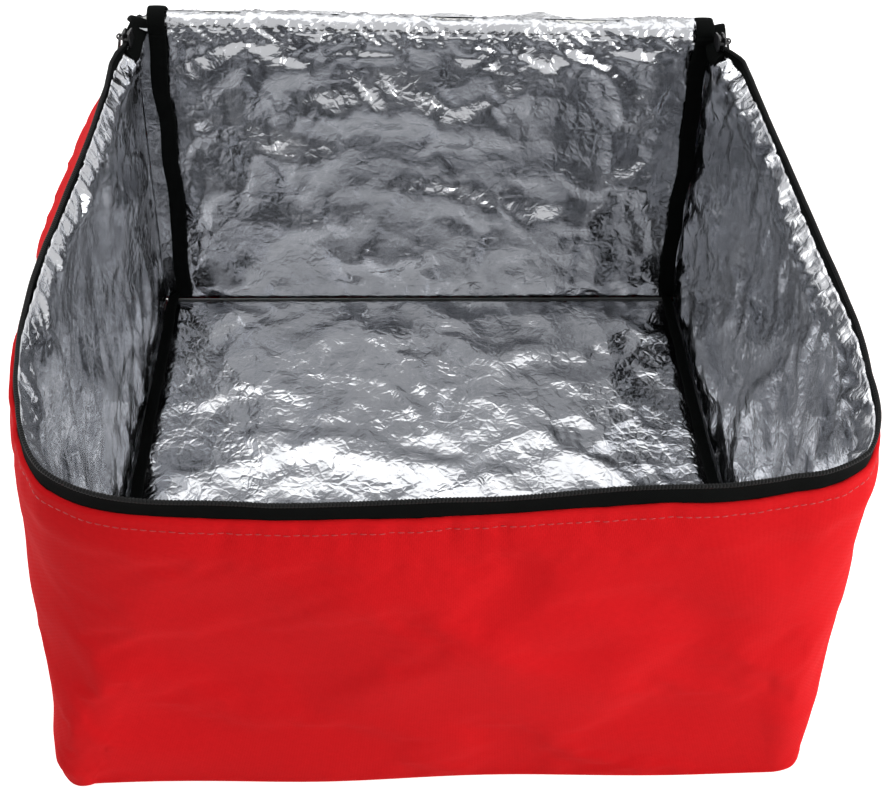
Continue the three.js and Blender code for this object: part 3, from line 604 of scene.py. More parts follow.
def foil_film():
    """Aluminised film bonded to foam: a soft mirror, pressed into fine crinkles that catch the light."""
    made, tree = material("aluminised_film")
    place = add(tree, "ShaderNodeTexCoord").outputs["Object"]
    bent = add(tree, "ShaderNodeTexNoise", {"Vector": place, "Scale": 1 / (25 * MM), "Detail": 2.0})
    warped = add(tree, "ShaderNodeMix", {0: 0.012, 4: place, 5: bent.outputs[1]}, data_type="VECTOR")
    wide = {"Vector": warped.outputs[1], "Scale": 1 / (17 * MM)}
    facets = add(tree, "ShaderNodeTexVoronoi", wide, feature="F1")
    small = {"Vector": warped.outputs[1], "Scale": 1 / (6 * MM)}
    creases = add(tree, "ShaderNodeTexVoronoi", small, feature="DISTANCE_TO_EDGE")
    sharp = add(tree, "ShaderNodeMapRange", {0: creases, 1: 0.0, 2: 0.25})
    fine = add(tree, "ShaderNodeTexNoise", {"Vector": place, "Scale": 1 / (5 * MM), "Detail": 4.0})
    relief = add(tree, "ShaderNodeBump", {"Height": facets, "Distance": 3.0 * MM, "Strength": 0.5})
    for height, depth, strength in ((sharp, 0.3, 0.5), (fine, 0.6, 0.6)):
        bump = {"Height": height, "Distance": depth * MM, "Strength": strength, "Normal": relief}
        relief = add(tree, "ShaderNodeBump", bump)
    worn = add(tree, "ShaderNodeTexNoise", {"Vector": place, "Scale": 1 / (35 * MM), "Detail": 3.0})
    gloss = add(tree, "ShaderNodeMapRange", {0: worn, 1: 0.3, 2: 0.7, 3: 0.13, 4: 0.26})
    inputs = {"Metallic": 1.0, "Roughness": gloss, "Normal": relief}
    return surfaced(made, worn, linear("#B1B3B7"), linear("#C9CACD"), inputs)


def woven_tape():
    """Polyester zip and binding tape: matt black, with a fine rib of yarn that runs along it."""
    made, tree = material("black_polyester_tape")
    place = add(tree, "ShaderNodeTexCoord").outputs["Object"]
    x, y = threads(tree, 1.1)
    slant = add(tree, "ShaderNodeMath", {0: x, 1: y}, operation="ADD")
    rib = ribs(tree, slant)[1]
    fuzz = add(tree, "ShaderNodeTexNoise", {"Vector": place, "Scale": 1 / (9 * MM), "Detail": 4.0})
    inputs = {"Roughness": 0.8, "Specular IOR Level": 0.04}
    return surfaced(made, fuzz, linear("#050606"), linear("#0B0D0C"), inputs, (rib, 0.14, 0.6))


def nylon_coil():
    """Black nylon monofilament of the zip's coils: smooth, with a small soft gloss on each turn."""
    made, tree = material("black_nylon_coil")
    place = add(tree, "ShaderNodeTexCoord").outputs["Object"]
    dust = add(tree, "ShaderNodeTexNoise", {"Vector": place, "Scale": 1 / (12 * MM), "Detail": 3.0})
    gloss = add(tree, "ShaderNodeMapRange", {0: dust, 1: 0.3, 2: 0.7, 3: 0.45, 4: 0.6})
    inputs = {"Roughness": gloss, "Specular IOR Level": 0.16}
    return surfaced(made, dust, linear("#050505"), linear("#0A0B0B"), inputs)


def webbing_cloth():
    """Polypropylene webbing: black, with a herringbone of thick flat yarns about 1.6 mm apart."""
    made, tree = material("black_polypropylene_webbing")
    x, y = threads(tree, 1.6)
    fold = add(tree, "ShaderNodeMath", {0: y, 1: 2.5}, operation="PINGPONG")
    slant = add(tree, "ShaderNodeMath", {0: x, 1: fold}, operation="ADD")
    yarn = ribs(tree, slant)[1]
    inputs = {"Roughness": 0.6, "Specular IOR Level": 0.2}
    return surfaced(made, yarn, linear("#070808"), linear("#131515"), inputs, (yarn, 0.3, 0.8))


def closed_cell_foam():
    """Expanded polyethylene foam: white and matt, with closed cells about 1.6 mm across."""
    made, tree = material("white_pe_foam")
    place = add(tree, "ShaderNodeTexCoord").outputs["Object"]
    cells = add(tree, "ShaderNodeTexVoronoi", {"Vector": place, "Scale": 1 / (1.6 * MM)})
    inputs = {"Roughness": 0.88}
    return surfaced(made, cells, linear("#F4F4F2"), linear("#E6E6E3"), inputs, (cells, 0.3, 0.6))


def base_board_plastic():
    """Polyethylene board under the floor: grey, rolled, with a faint drag of the roller."""
    made, tree = material("grey_pe_board")
    place = add(tree, "ShaderNodeTexCoord").outputs["Object"]
    rolled = add(tree, "ShaderNodeMapping", {0: place, "Scale": (1.0, 0.1, 1.0)})
    drag = add(tree, "ShaderNodeTexNoise", {"Vector": rolled, "Scale": 1 / (6 * MM), "Detail": 3.0})
    inputs = {"Roughness": 0.55}
    return surfaced(made, drag, linear("#B3B6BA"), linear("#BFC2C6"), inputs, (drag, 0.1, 0.4))


def black_enamel():
    """Zinc die casting under black enamel: satin, worn a little greyer here and there."""
    made, tree = material("black_enamelled_zinc")
    place = add(tree, "ShaderNodeTexCoord").outputs["Object"]
    wear = add(tree, "ShaderNodeTexNoise", {"Vector": place, "Scale": 1 / (2.5 * MM), "Detail": 4.0})
    grain = add(tree, "ShaderNodeTexNoise", {"Vector": place, "Scale": 1 / (0.8 * MM), "Detail": 2.0})
    gloss = add(tree, "ShaderNodeMapRange", {0: wear, 1: 0.3, 2: 0.7, 3: 0.28, 4: 0.42})
    inputs = {"Roughness": gloss, "Coat Weight": 0.3, "Coat Roughness": 0.2}
    return surfaced(made, wear, linear("#101011"), linear("#1D1D1F"), inputs, (grain, 0.02, 0.5))


def sewing_thread(name, dark, light):
    """Bonded polyester thread: round stitches with a slight shine along the twist."""
    made, tree = material(name)
    place = add(tree, "ShaderNodeTexCoord").outputs["Object"]
    twist = add(tree, "ShaderNodeTexNoise", {"Vector": place, "Scale": 1 / (0.8 * MM), "Detail": 2.0})
    inputs = {"Roughness": 0.5, "Sheen Weight": 0.1}
    return surfaced(made, twist, linear(dark), linear(light), inputs, (twist, 0.05, 0.6))


# Each finish is a material with its slot
RED_CLOTH = red_polyester(), "red_skin"
FOIL = foil_film(), "foil_lining"
BLACK_TAPE = woven_tape(), "black_tape"
COIL = nylon_coil(), "black_tape"
WEBBING = webbing_cloth(), "black_tape"
WHITE_FOAM = closed_cell_foam(), "white_foam"
ENAMEL = black_enamel(), "black_metal"
RED_THREAD = sewing_thread("red_polyester_thread", "#A81419", "#C71D22"), "red_skin"
BLACK_THREAD = sewing_thread("black_polyester_thread", "#0B0B0B", "#1C1C1C"), "black_tape"
BOARD = base_board_plastic()


def dressed(piece, finish, body, *nodes):
    """Gives a piece its material, the body that it moves with, and hides the solids that it stands for. The
    slot that comes with its finish is not used.
    """
    surface, slot = finish
    piece.data.materials.clear()
    piece.data.materials.append(surface)
    if body:
        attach(piece, body)
    if nodes:
        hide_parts(*nodes)
    return piece


def over_fold(piece):
    """Bakes the placement of a piece over the fold into its mesh."""
    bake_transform(piece)


# Stitches and zip teeth repeat along a path: Geometry Nodes set one shape at each step

def repeat_tree():
    """Sets a shape at even steps along a path, turned to the path and to the way that it faces."""
    tree = bpy.data.node_groups.new("repeat_along_path", "GeometryNodeTree")
    for name, way, kind in (
        ("Path", "INPUT", "Geometry"),
        ("Pitch", "INPUT", "Float"),
        ("Shape", "INPUT", "Object"),
        ("Row", "OUTPUT", "Geometry"),
    ):
        tree.interface.new_socket(name, in_out=way, socket_type="NodeSocket" + kind)
    given = add(tree, "NodeGroupInput").outputs
    curve = add(tree, "GeometryNodeMeshToCurve", {0: given["Path"]})
    steps = {"Curve": curve, "Length": given["Pitch"]}
    stepped = add(tree, "GeometryNodeResampleCurve", steps, mode="LENGTH")
    shape = add(tree, "GeometryNodeObjectInfo", {"Object": given["Shape"]}).outputs["Geometry"]
    along = add(tree, "GeometryNodeInputTangent")
    outward = add(tree, "GeometryNodeInputNamedAttribute", {"Name": "facing"}, data_type="FLOAT_VECTOR")
    turn = add(tree, "FunctionNodeAlignRotationToVector", {"Vector": along}, axis="X")
    facings = {"Rotation": turn, "Vector": outward.outputs[0]}
    turn = add(tree, "FunctionNodeAlignRotationToVector", facings, axis="Z", pivot_axis="X")
    places = {"Points": stepped, "Instance": shape, "Rotation": turn}
    placed = add(tree, "GeometryNodeInstanceOnPoints", places)
    real = add(tree, "GeometryNodeRealizeInstances", {0: placed})
    add(tree, "NodeGroupOutput", {0: real})
    return tree


repeat_along_path = repeat_tree()


def repeated(name, lines, facings, pitch, shape):
    """One plain mesh of a shape set along each line of points, which are in millimetres."""
    points = np.concatenate(lines) * MM
    outward = np.concatenate(facings)
    first = np.cumsum([0] + [len(line) for line in lines])
    edges = [(i, i + 1) for a, b in zip(first[:-1], first[1:]) for i in range(a, b - 1)]
    mesh = bpy.data.meshes.new(name)
    mesh.from_pydata(points.tolist(), edges, [])
    mesh.attributes.new("facing", "FLOAT_VECTOR", "POINT").data.foreach_set("vector", outward.ravel())
    path = in_scene(name + "_path", mesh)
    modifier = path.modifiers.new("row", "NODES")
    modifier.node_group = repeat_along_path
    values = {"Pitch": pitch * MM, "Shape": shape}
    for item in repeat_along_path.interface.items_tree:
        if item.in_out == "INPUT" and item.name in values:
            modifier[item.identifier] = values[item.name]
    bpy.context.view_layer.update()
    depsgraph = bpy.context.evaluated_depsgraph_get()
    row = bpy.data.meshes.new_from_object(path.evaluated_get(depsgraph), depsgraph=depsgraph)
    row.name = name
    bpy.data.objects.remove(path)
    return in_scene(name, row)


def bead(name, length, wide, tall, rings, around):
    """A small rounded shape that is repeated: long along X and tall along Z."""
    turn = np.linspace(0, math.pi, rings + 2)[1:-1]
    round_it = np.linspace(0, 2 * math.pi, around, endpoint=False)
    x = -length / 2 * np.cos(turn)[:, None] + 0 * round_it
    y = wide / 2 * np.sin(turn)[:, None] * np.cos(round_it)
    z = tall / 2 * np.sin(turn)[:, None] * np.sin(round_it)
    tips = [[-length / 2, 0, 0], [length / 2, 0, 0]]
    points = np.concatenate([np.stack([x, y, z], -1).reshape(-1, 3), tips])
    after = [(j, (j + 1) % around) for j in range(around)]
    faces = []
    for i in range(rings - 1):
        near, far = i * around, (i + 1) * around
        faces += [[near + j, near + k, far + k, far + j] for j, k in after]
    start, end, last = rings * around, rings * around + 1, (rings - 1) * around
    for j, k in after:
        faces += [[start, k, j], [end, last + j, last + k]]
    return finish_mesh(name, points, faces)


stitch = bead("stitch_shape", length=3.0, wide=0.75, tall=0.6, rings=5, around=6)
tooth = bead("tooth_shape", length=2.1, wide=COIL_THICK + 0.3, tall=2.5, rings=5, around=8)

# The skin: one strip round the left side, the front and the right side

# How far the slack skin under the left rim hangs out, by the place along the wall
LEFT_BULGE = [
    (0.02, 0), (0.08, 4), (0.15, 11.5), (0.3, 13.5), (0.45, 13), (0.6, 12), (0.8, 8), (0.92, 3),
    (1.0, 0),
]


def left_bulge(u, height):
    """The slack skin under the left rim hangs out a little, from the back corner to the middle."""
    return looked_up(LEFT_BULGE, u) * hump(height, 192, 16)


def wall_sag(u, height):
    """How far the soft wall stands out of its smooth form, which the skin and the foam behind it share."""
    rise = np.clip(height / WALL_HEIGHT, 0, 1)
    still = np.clip(np.sin(math.pi * rise), 0, 1) ** 0.5
    along = girth(u)
    half = np.minimum(u, 5 - u)
    patched = smooth(0.27, 0.35, half) * (1 - smooth(0.96, 1.04, half)) * smooth(70, 88, height)
    patched = patched * (1 - smooth(152, 170, height))
    dents = 1.5 * ripple(along, height, 170, seed=31) + 0.6 * ripple(along, height, 70, seed=12)
    return dents * still * (1 - 0.8 * patched) + left_bulge(u, height)


def back_corner(rows, radius, side):
    """The stretch of the strip that turns round a back corner to the seam with the back panel."""
    turn = np.linspace(0, math.pi / 2, 7)[1:]
    half = -rows[:, 0, 0]
    x = half[:, None] - radius + radius * np.cos(turn)
    y = rows[:, 0, 1][:, None] + (BACK_FACE - WRAP_END) * np.sin(turn)
    z = np.broadcast_to(rows[:, 0, 2][:, None], x.shape)
    corner = np.stack([side * x, y, z], -1)
    return corner[:, ::-1] if side < 0 else corner


def mirrored_end(grid):
    """The right end of the strip, seen in the mirror, so that both back corners are made alike."""
    return grid[:, ::-1] * [-1, 1, 1]


def wall_skin():
    u, along = even_path(321, height=GIRTH_HEIGHT)
    tuck = [(0.2, 3.0), (0.2, 1.4), (0.5, 0.6), (1.1, 0.15), (2.0, 0.0)]
    flat = [(height, 0.0) for height in np.linspace(4.5, 216, 79)]
    roll = [(216.8, 0.0), (217.6, 0.1), (218.3, 0.3), (218.9, 0.8), (219.3, 1.5), (219.5, 2.3)]
    height, depth = np.array(tuck + flat + roll).T[:, :, None]
    seam = 0.5 * hump(height, TOPSTITCH, 1.3)
    roll_out = 2.0 * hump(height, ROLL_HEIGHT, 7)
    pucker = 0.25 * ripple(along, height * 0.3, 13, seed=8) * np.exp(-np.abs(height - TOPSTITCH) / 9)
    wavy = 0.6 * ripple(along, 0, 120, seed=6) * np.exp(-height / 25)
    soft = depth - wall_sag(u[None], height) - pucker - wavy + seam - roll_out
    grid = wall_point(u[None], height, soft)
    ends = clear_of_ends(4, 32, along)
    lift = ends * (HEM_LIFT + 0.3 * ripple(along, 0, 60, seed=15))
    grid[..., 2] += lift * smooth(204, 217, height)
    sewn = held_edges(grid, 6, 12)
    grid = relaxed(grid, sewn, INSIDE, growth=0.008, low=-2.2, high=0.3, bending=0.6, seed=5)
    right = back_corner(mirrored_end(grid), CORNER_RADIUS, 1)
    grid = np.concatenate([back_corner(grid, CORNER_RADIUS, -1), grid, right], 1)
    flat_grid = wall_point(u[None], height, depth)
    uv = joined(walked(grid[40])[None], walked(flat_grid[:, 0])[:, None])
    skin = thick_sheet("wall_skin", grid, SKIN_THICK, uv, towards=INSIDE)
    dressed(skin, RED_CLOTH, "bag", "outer_wall_wrap")
    row = int(np.argmin(np.abs(height - TOPSTITCH)))
    line = grid[row, 8:-8]
    outward = -facing(grid, INSIDE)[row, 8:-8]
    stitches = repeated("rim_stitches", [line + outward * 0.05], [outward], RIM_STITCH, stitch)
    dressed(stitches, RED_THREAD, "bag")


def back_bulge(share, height):
    rise = np.clip(height / WALL_HEIGHT, 0, 1)
    return BACK_SWELL * np.sin(math.pi * rise**SWELL_SKEW) * np.sin(math.pi * (share + 1) / 2) ** 2


def back_grid(share, height, half, y):
    """Points of a back ply: each row runs from its left edge to its right one."""
    return joined(half * share, y, height)


def back_skin():
    low, shoulder = [0.2, 0.6, 1.6], [218, 220, 222, 225, 230, BACK_TOP]
    height = np.concatenate([low, np.linspace(3.5, 216, 64), shoulder])[:, None]
    share = np.linspace(-1, 1, 131)[None]
    half = shoulder_half_width(height, 185, 170)
    rise = np.clip(height / WALL_HEIGHT, 0, 1)
    smooth_form = back_grid(share, height, half, BACK_FACE + back_bulge(share, height))
    soft = 1.2 * ripple(smooth_form[..., 0], height, 140, seed=22) * np.sin(math.pi * rise) ** 0.5
    from_edge = half * (1 - np.abs(share))
    grid = smooth_form.copy()
    grid[..., 1] += soft * smooth(0, 40, from_edge) + 0.3 - 1.4 * np.exp(-from_edge / 2.5)
    grid[..., 1] -= 3.5 * np.exp(-height / 1.2)
    sewn = held_edges(grid, 4, 4)
    grid = relaxed(grid, sewn, INSIDE, growth=0.008, low=-2, high=0.3, bending=0.6, seed=6)
    grid = sagged(grid)
    uv = joined(grid[..., 0], height)
    skin = thick_sheet("back_skin", grid, SKIN_THICK, uv, towards=INSIDE)
    dressed(skin, RED_CLOTH, "bag", "outer_back_panel")


def level_panel(rows, columns, height, inset, back):
    """A level panel inside the wall: its rows run from the back to the front and its columns across."""
    u, _ = even_path(rows, 0, 2, height)
    left, right = wall_point(u, height, inset), wall_point(5 - u, height, inset)
    left[0, 1] = right[0, 1] = back
    share = np.linspace(0, 1, columns)
    straight = mix(left[:, None], right[:, None], share[None, :, None])
    bow = wall_point(2 + share, height, inset)[:, 1] - straight[-1, :, 1]
    progress = (back - left[:, 1:2]) / (back - left[-1, 1])
    y = straight[..., 1] + bow[None] * progress**8
    return joined(straight[..., 0], y, height)


def edge_distance(grid):
    """How far each point of a level panel lies from the panel's edge, roughly."""
    side = np.minimum(grid[..., 0] - grid[:, :1, 0], grid[:, -1:, 0] - grid[..., 0])
    ends = np.minimum(grid[0, 0, 1] - grid[..., 1], grid[..., 1] - grid[-1:, :, 1])
    return np.maximum(np.minimum(side, ends), 0)


def base_skin():
    grid = level_panel(60, 60, 0.0, 2.4, BACK_FACE - 2)
    grid[..., 2] = 0.15
    smooth_form = grid.copy()
    wave = (1 + ripple(grid[..., 0], grid[..., 1], 110, seed=9)) / 4
    grid[..., 2] += wave * smooth(0, 30, edge_distance(grid))
    skin = sheet("base_skin", grid, grid + [0, 0, 0.8], grid[..., :2])
    dressed(skin, RED_CLOTH, "bag", "outer_base_panel")


# Foam plies, between the skin and the foil

def foam_pad(name, node, body, face, behind, uv):
    pad = sheet(name, face, behind, uv)
    dressed(pad, WHITE_FOAM, body, node)


def wall_foam(name, node, start, end):
    u, along = even_path(91, start, end, GIRTH_HEIGHT)
    height = np.linspace(1.6, 216.5, 40)[:, None]
    sag = wall_sag(u[None], height)
    crown = 0.2 * (1 + ripple(along, height, 40, seed=17))
    outer = FOAM_OUTER + 0.6 - sag
    inner = np.maximum(FOAM_INNER - 1.0 - left_bulge(u[None], height) * 0.8, outer + 1.5) - crown
    face, behind = (wall_point(u[None], height, depth) for depth in (outer, inner))
    foam_pad(name, node, "bag", face, behind, joined(along[None], height))


def back_foam():
    height = np.linspace(1.6, BACK_TOP - 0.5, 44)[:, None]
    share = np.linspace(-1, 1, 71)[None]
    crown = 0.2 * ripple(170 * share, height, 40, seed=18)
    outer = BACK_FACE + back_bulge(share, height) - FOAM_OUTER - 1.6
    half = np.where(height <= WALL_HEIGHT, back_half_width(height) - 7.5, HINGE_WIDTH / 2 - 2)
    face = joined(half * share, outer + crown, height)
    inner = np.minimum(outer - 1.5, BACK_FACE - FOAM_INNER + 0.8) + crown
    behind = joined(half * share, inner, height)
    foam_pad("foam_back_pad", "foam_back", "bag", sagged(face), sagged(behind), face[..., ::2])


def base_foam():
    low = level_panel(51, 51, 1.7, BASE_INSET, WRAP_END - 1)
    high = low + [0, 0, 3.9]
    high[..., 2] += 0.15 * ripple(low[..., 0], low[..., 1], 50, seed=19)
    foam_pad("foam_base_pad", "foam_base", "bag", low, high, low[..., :2])


# Foil lining

def crinkle(across, down, seed):
    """Folds of pressed foil, never below the foam: broad soft pillows, with sharper creases among them."""
    pillows = 1.5 * ripple(across, down, 80, seed) + 0.7 * ripple(across, down, 36, seed + 1)
    slanted = ripple(across + 0.6 * down, down * 0.45, 50, seed + 2)
    where = smooth(-0.4, 1.0, ripple(across, down, 120, seed + 3))
    creases = 1.6 * where * hump(slanted, 0, 0.25)
    fold = pillows + creases + 0.6
    return (fold + np.sqrt(fold**2 + 1.0)) / 2


def wall_foil():
    """The foil of the walls. Over its last 20 mm it slants out to the zip tape, in short slanted puckers."""
    u, along = even_path(501, height=GIRTH_HEIGHT)
    low = [(height, FOIL_INNER) for height in np.linspace(FLOOR_FOIL_TOP + 0.6, 197, 55)]
    high = [(height, 6.8 + 2.2 * smooth(198, 212, height)) for height in np.linspace(199, 212, 9)]
    slant = [
        (214, 9.1), (216, 9.0), (218, 8.7), (220, 8.1), (222, 7.4), (223.5, 6.8), (225, 6.1),
        (226.6, 5.3),
    ]
    height, depth = np.array(low + high + slant).T[:, :, None]
    near_rim = np.exp(-np.abs(216 - height) / 12)
    still = smooth(0, 14, height - 10) * (1 - smooth(196, 219, height))
    skewed = along + 0.7 * height
    pucker = 0.9 * ripple(skewed, height * 0.2, 13, seed=41)
    pucker = pucker + 0.5 * ripple(skewed, height * 0.3, 6.5, seed=42)
    free = 1 - smooth(220, 226.6, height)
    corners = clear_of_ends(4, 26, along)
    relief = crinkle(along, height, 50) * still * corners
    relief = relief + (pucker + 0.9) * near_rim * (0.25 + 0.75 * free) + 0.1
    grid = wall_point(u[None], height, depth + relief)
    lean = rim_lean(wall_point(u, WALL_HEIGHT, ZIP_DEPTH), along)[0]
    out = wall_normal(u, WALL_HEIGHT)
    grid = grid + (out * lean[:, None])[None] * 0.6 * smooth(214, 226, height)[..., None]
    low_edge = smooth(15, 35, along) * (1 - smooth(60, 95, along))
    along_side = smooth(40, 110, along) * (1 - smooth(250, 330, along))
    low_edge, along_side = (share + share[::-1] for share in (low_edge, along_side))
    edge = 0.3 * ripple(along, 0, 9, seed=44) - 2.5 * low_edge - 1.5 * along_side
    grid[..., 2] += edge * smooth(214, 226, height)
    grid = relaxed(grid, held_edges(grid, 2, 7), INSIDE, growth=0.03, low=-0.8, high=4, seed=7)
    flat_grid = wall_point(u[None], height, depth)
    uv = joined(along[None], walked(flat_grid[:, 0])[:, None])
    lining = thick_sheet("wall_foil", grid, FOIL_THICK, uv, towards=(0, -900, 120))
    dressed(lining, FOIL, "bag", "lining_wall_wrap")


def back_foil():
    height = np.concatenate([np.linspace(FLOOR_FOIL_TOP + 0.6, 205, 57), np.linspace(208, 235, 13)])[:, None]
    share = np.linspace(-1, 1, 191)[None]
    half = shoulder_half_width(height, 186.5, 182) + np.where(height <= WALL_HEIGHT, 1.2, 0)
    smooth_form = back_grid(share, height, half, BACK_FACE - FOIL_INNER)
    x = smooth_form[..., 0]
    near_top = np.exp(-np.abs(231 - height) / 14)
    bound = smooth(BINDING_ZONE - 4, BINDING_ZONE + 14, half * (1 - np.abs(share)))
    still = smooth(0, 14, height - 10) * (1 - 0.7 * near_top) * bound
    pucker = (0.9 * ripple(x, height * 0.16, 12, seed=61) + 0.6) * near_top
    grid = smooth_form.copy()
    grid[..., 1] += 0.3 * back_bulge(share, height) - crinkle(x, height, 64) * still - pucker - 0.2
    sewn = held_edges(grid, 2, 2) | (half * (1 - np.abs(share)) < BINDING_ZONE)
    grid = sagged(relaxed(grid, sewn, INSIDE, growth=0.03, low=-0.8, high=4, seed=8))
    uv = joined(x, height)
    lining = thick_sheet("back_foil", grid, FOIL_THICK, uv, towards=(0, 900, 120))
    dressed(lining, FOIL, "bag", "lining_back")


def floor_foil():
    grid = level_panel(111, 151, FLOOR_FOIL_TOP, BASE_INSET - 1.6, WRAP_END - 0.2)
    smooth_form = grid.copy()
    inside = smooth(2, 26, edge_distance(grid))
    relief = crinkle(grid[..., 0], grid[..., 1], 70) * 0.5 * inside
    grid[..., 2] += relief - 0.3 * (1 - inside)
    sewn = edge_distance(smooth_form) < 3
    grid = relaxed(grid, sewn, (0, 0, 400), growth=0.015, low=-0.3, high=1.5, seed=9)
    lining = thick_sheet("floor_foil", grid, FOIL_THICK, grid[..., :2], towards=(0, 0, -400))
    dressed(lining, FOIL, "bag", "lining_base")


# Zip: the tapes, their coils and the small parts at the coils' ends

def zip_path(start_y, count):
    """The mouth's path at the coil's depth, with its direction outwards and the distance along it."""
    first = side_place(start_y)
    u, along = even_path(count, first, 5 - first)
    return wall_point(u, WALL_HEIGHT, ZIP_DEPTH) * [1, 1, 0], wall_normal(u, WALL_HEIGHT), along


# How far the soft tape's upper edge leans out, by the place from front to back
LEFT_LEAN = [(-170, 2.4), (-110, 1.0), (100, 0.8), (125, 0.8), (150, 3.0), (165, 3.2), (178, 0.3)]
RIGHT_LEAN = [
    (-170, 2.4), (-120, 1.4), (-50, 3.0), (0, 2.4), (50, 1.8), (95, 1.2), (130, 2.0), (162, 3.6),
    (178, 0.3),
]


def rim_lean(origins, along):
    """How far the soft tape's upper edge leans out and rises off its straight place. It wanders all round,
    and keeps to its place where the sliders park."""
    ends = clear_of_ends(5, 60, along)
    y = origins[:, 1]
    lean = np.where(origins[:, 0] < 0, looked_up(LEFT_LEAN, y), looked_up(RIGHT_LEAN, y))
    return lean + 0.3 * ripple(along, 0, 95, seed=71) * ends, 0.25 * ripple(along, 0, 120, seed=72) * ends


def tape_band(name, line, way, lean=None, rise=None, placed=None, tuck=None):
    """A zip tape from its middle line, as a thin sheet that stands along the path. Lean and rise move its
    upper edge, and tuck its lower one."""
    origins, out, along = way
    line = np.asarray(line, float)
    run = way_of(line)
    side = np.stack([run[:, 1], -run[:, 0]], -1) * TAPE_THICK / 2
    up = np.broadcast_to(UP, out.shape)
    share = smooth(0.15, 0.9, np.linspace(0, 1, len(line)))[:, None, None]
    moved = 0 if lean is None else share * (out * lean[:, None] + up * rise[:, None])[None]
    face = sweep_grid(line + side, origins, out, up) + moved
    back = sweep_grid(line - side, origins, out, up) + moved
    if tuck is not None:
        tucked = ((1 - smooth(0, 0.85, np.linspace(0, 1, len(line))))[:, None] * tuck)[..., None] * up[None]
        face, back = face + tucked, back + tucked
    if placed:
        face, back = placed(face), placed(back)
    uv = joined(along[None], walked(line)[:, None])
    return sheet(name, face, back, uv)


def body_zip():
    way = zip_path(BODY_TAPE_START, 421)
    line = [
        (2.6, 216.5), (3.0, 218.5), (3.1, 220.5), (2.9, 222.5), (2.1, 224.6), (1.0, 226.4),
        (0.3, 227.8), (0, 229.2), (0, 231.6),
    ]
    tape = tape_band("body_tape", line, way, *rim_lean(way[0], way[2]))
    dressed(tape, BLACK_TAPE, "bag", "body_zip_tape")
    origins, out, along = zip_path(BODY_COIL_START, 901)
    lean, rise = rim_lean(origins, along)
    up = np.broadcast_to(UP, origins.shape)
    height = (BODY_COIL_BOTTOM + BODY_COIL_TOP) / 2 + 0.1 + rise
    middle = origins + out * lean[:, None] + up * height[:, None]
    teeth = repeated("body_coil", [middle], [up], COIL_PITCH, tooth)
    dressed(teeth, COIL, "bag", "body_zip_coil")


def zip_tuck(along):
    """How far the ends of the lid's zip are tucked in towards the lid, beside the fold."""
    return LID_ZIP_TUCK * (1 - smooth(0, 32, np.minimum(along, along[-1] - along)))


def lid_zip():
    way = zip_path(HINGE_Y - LID_TAPE_START, 401)
    line = [
        (0, 234.8), (0, 236.6), (-0.2, 237.8), (-2.2, 238.8), (0.4 - LID_TAPE_INSET, 239.6),
        (-LID_TAPE_INSET, 241.2), (-LID_TAPE_INSET, 244.9),
    ]
    tape = tape_band("lid_tape", line, way, placed=thrown_back, tuck=zip_tuck(way[2]))
    dressed(tape, BLACK_TAPE, "lid", "lid_zip_tape")
    middle = way[0] + [0, 0, (LID_COIL_BOTTOM + LID_COIL_TOP) / 2 - 0.1]
    middle[:, 2] += zip_tuck(way[2])
    middle = thrown_back(middle)
    up = turned(UP, np.zeros(3), (1, 0, 0), lid_turn)
    teeth = repeated("lid_coil", [middle], [np.broadcast_to(up, middle.shape)], COIL_PITCH, tooth)
    dressed(teeth, COIL, "lid", "lid_zip_coil")


def line_through(points, count):
    """A smooth line through a few points, with its steps even."""
    points = np.asarray(points, float)
    knots = walked(points)
    even = np.linspace(0, knots[-1], count)
    line = np.stack([np.interp(even, knots, points[:, i]) for i in range(3)], -1)
    for _ in range(count // 2):
        line[1:-1] = (line[:-2] + 2 * line[1:-1] + line[2:]) / 4
    return line


def corner_tapes(side):
    """At a back corner the zip tape runs on from the mouth to the lid, turned over on itself."""
    word = SIDES[side]
    end = 0 if side < 0 else -1
    crest_x, crest_z = (-180.5, 236.5) if side < 0 else (187.5, 239.5)
    rim = zip_path(BODY_TAPE_START, 61)[0][end]
    lid_x = zip_path(HINGE_Y - LID_TAPE_START, 61)[0][end][0]
    path = [
        (rim[0] - side * 0.4, 174, 221.5),
        (rim[0] - side * 0.6, 181, 223.5),
        (rim[0] - side * 0.8, 187, 226.5),
        (mix(rim[0], crest_x, 0.6), 192.0, crest_z - 4.0),
        (crest_x, 196.5, crest_z),
        (crest_x, 201.0, crest_z + 0.6),
        (mix(crest_x, lid_x, 0.4), 205.5, crest_z - 2.5),
        (lid_x, 211.0, 227.5),
        (lid_x, 218.5, 222.5),
    ]
    line = line_through(path, 60)
    behind = smooth(184, 197, line[:, 1:2])
    line = mix(line, sagged(line), behind)
    run = way_of(line)
    share = np.linspace(0, 1, 60)
    over = unit(np.array([0, 0.62, 0.79]))
    up = mix(UP, over, smooth(0.45, 0.85, share)[:, None])
    flat = 3.5 * smooth(172, 192, line[:, 1:2]) * (1 - 0.6 * smooth(205, 218, line[:, 1:2]))
    up = up + side * flat * np.array([1.0, 0, 0])
    up = unit(up - run * (up * run).sum(-1, keepdims=True))
    across = np.cross(run, up)
    section = rounded_section(CORNER_TAPE_WIDTH, CORNER_TAPE_THICK, crown=0.5)[:, ::-1]
    band = strip(f"{word}_corner_tape", section, line, across, up)
    dressed(band, BLACK_TAPE, None, f"{word}_zip_end")
    over_fold(band)


def binding_frames(u, height, depth):
    """A slanted binding tape's middle line, with its directions across and out of its face."""
    out = wall_normal(u, height)
    level, rise = math.cos(BINDING_TILT), math.sin(BINDING_TILT)
    return wall_point(u, height, depth), rise * UP - level * out, rise * out + level * UP


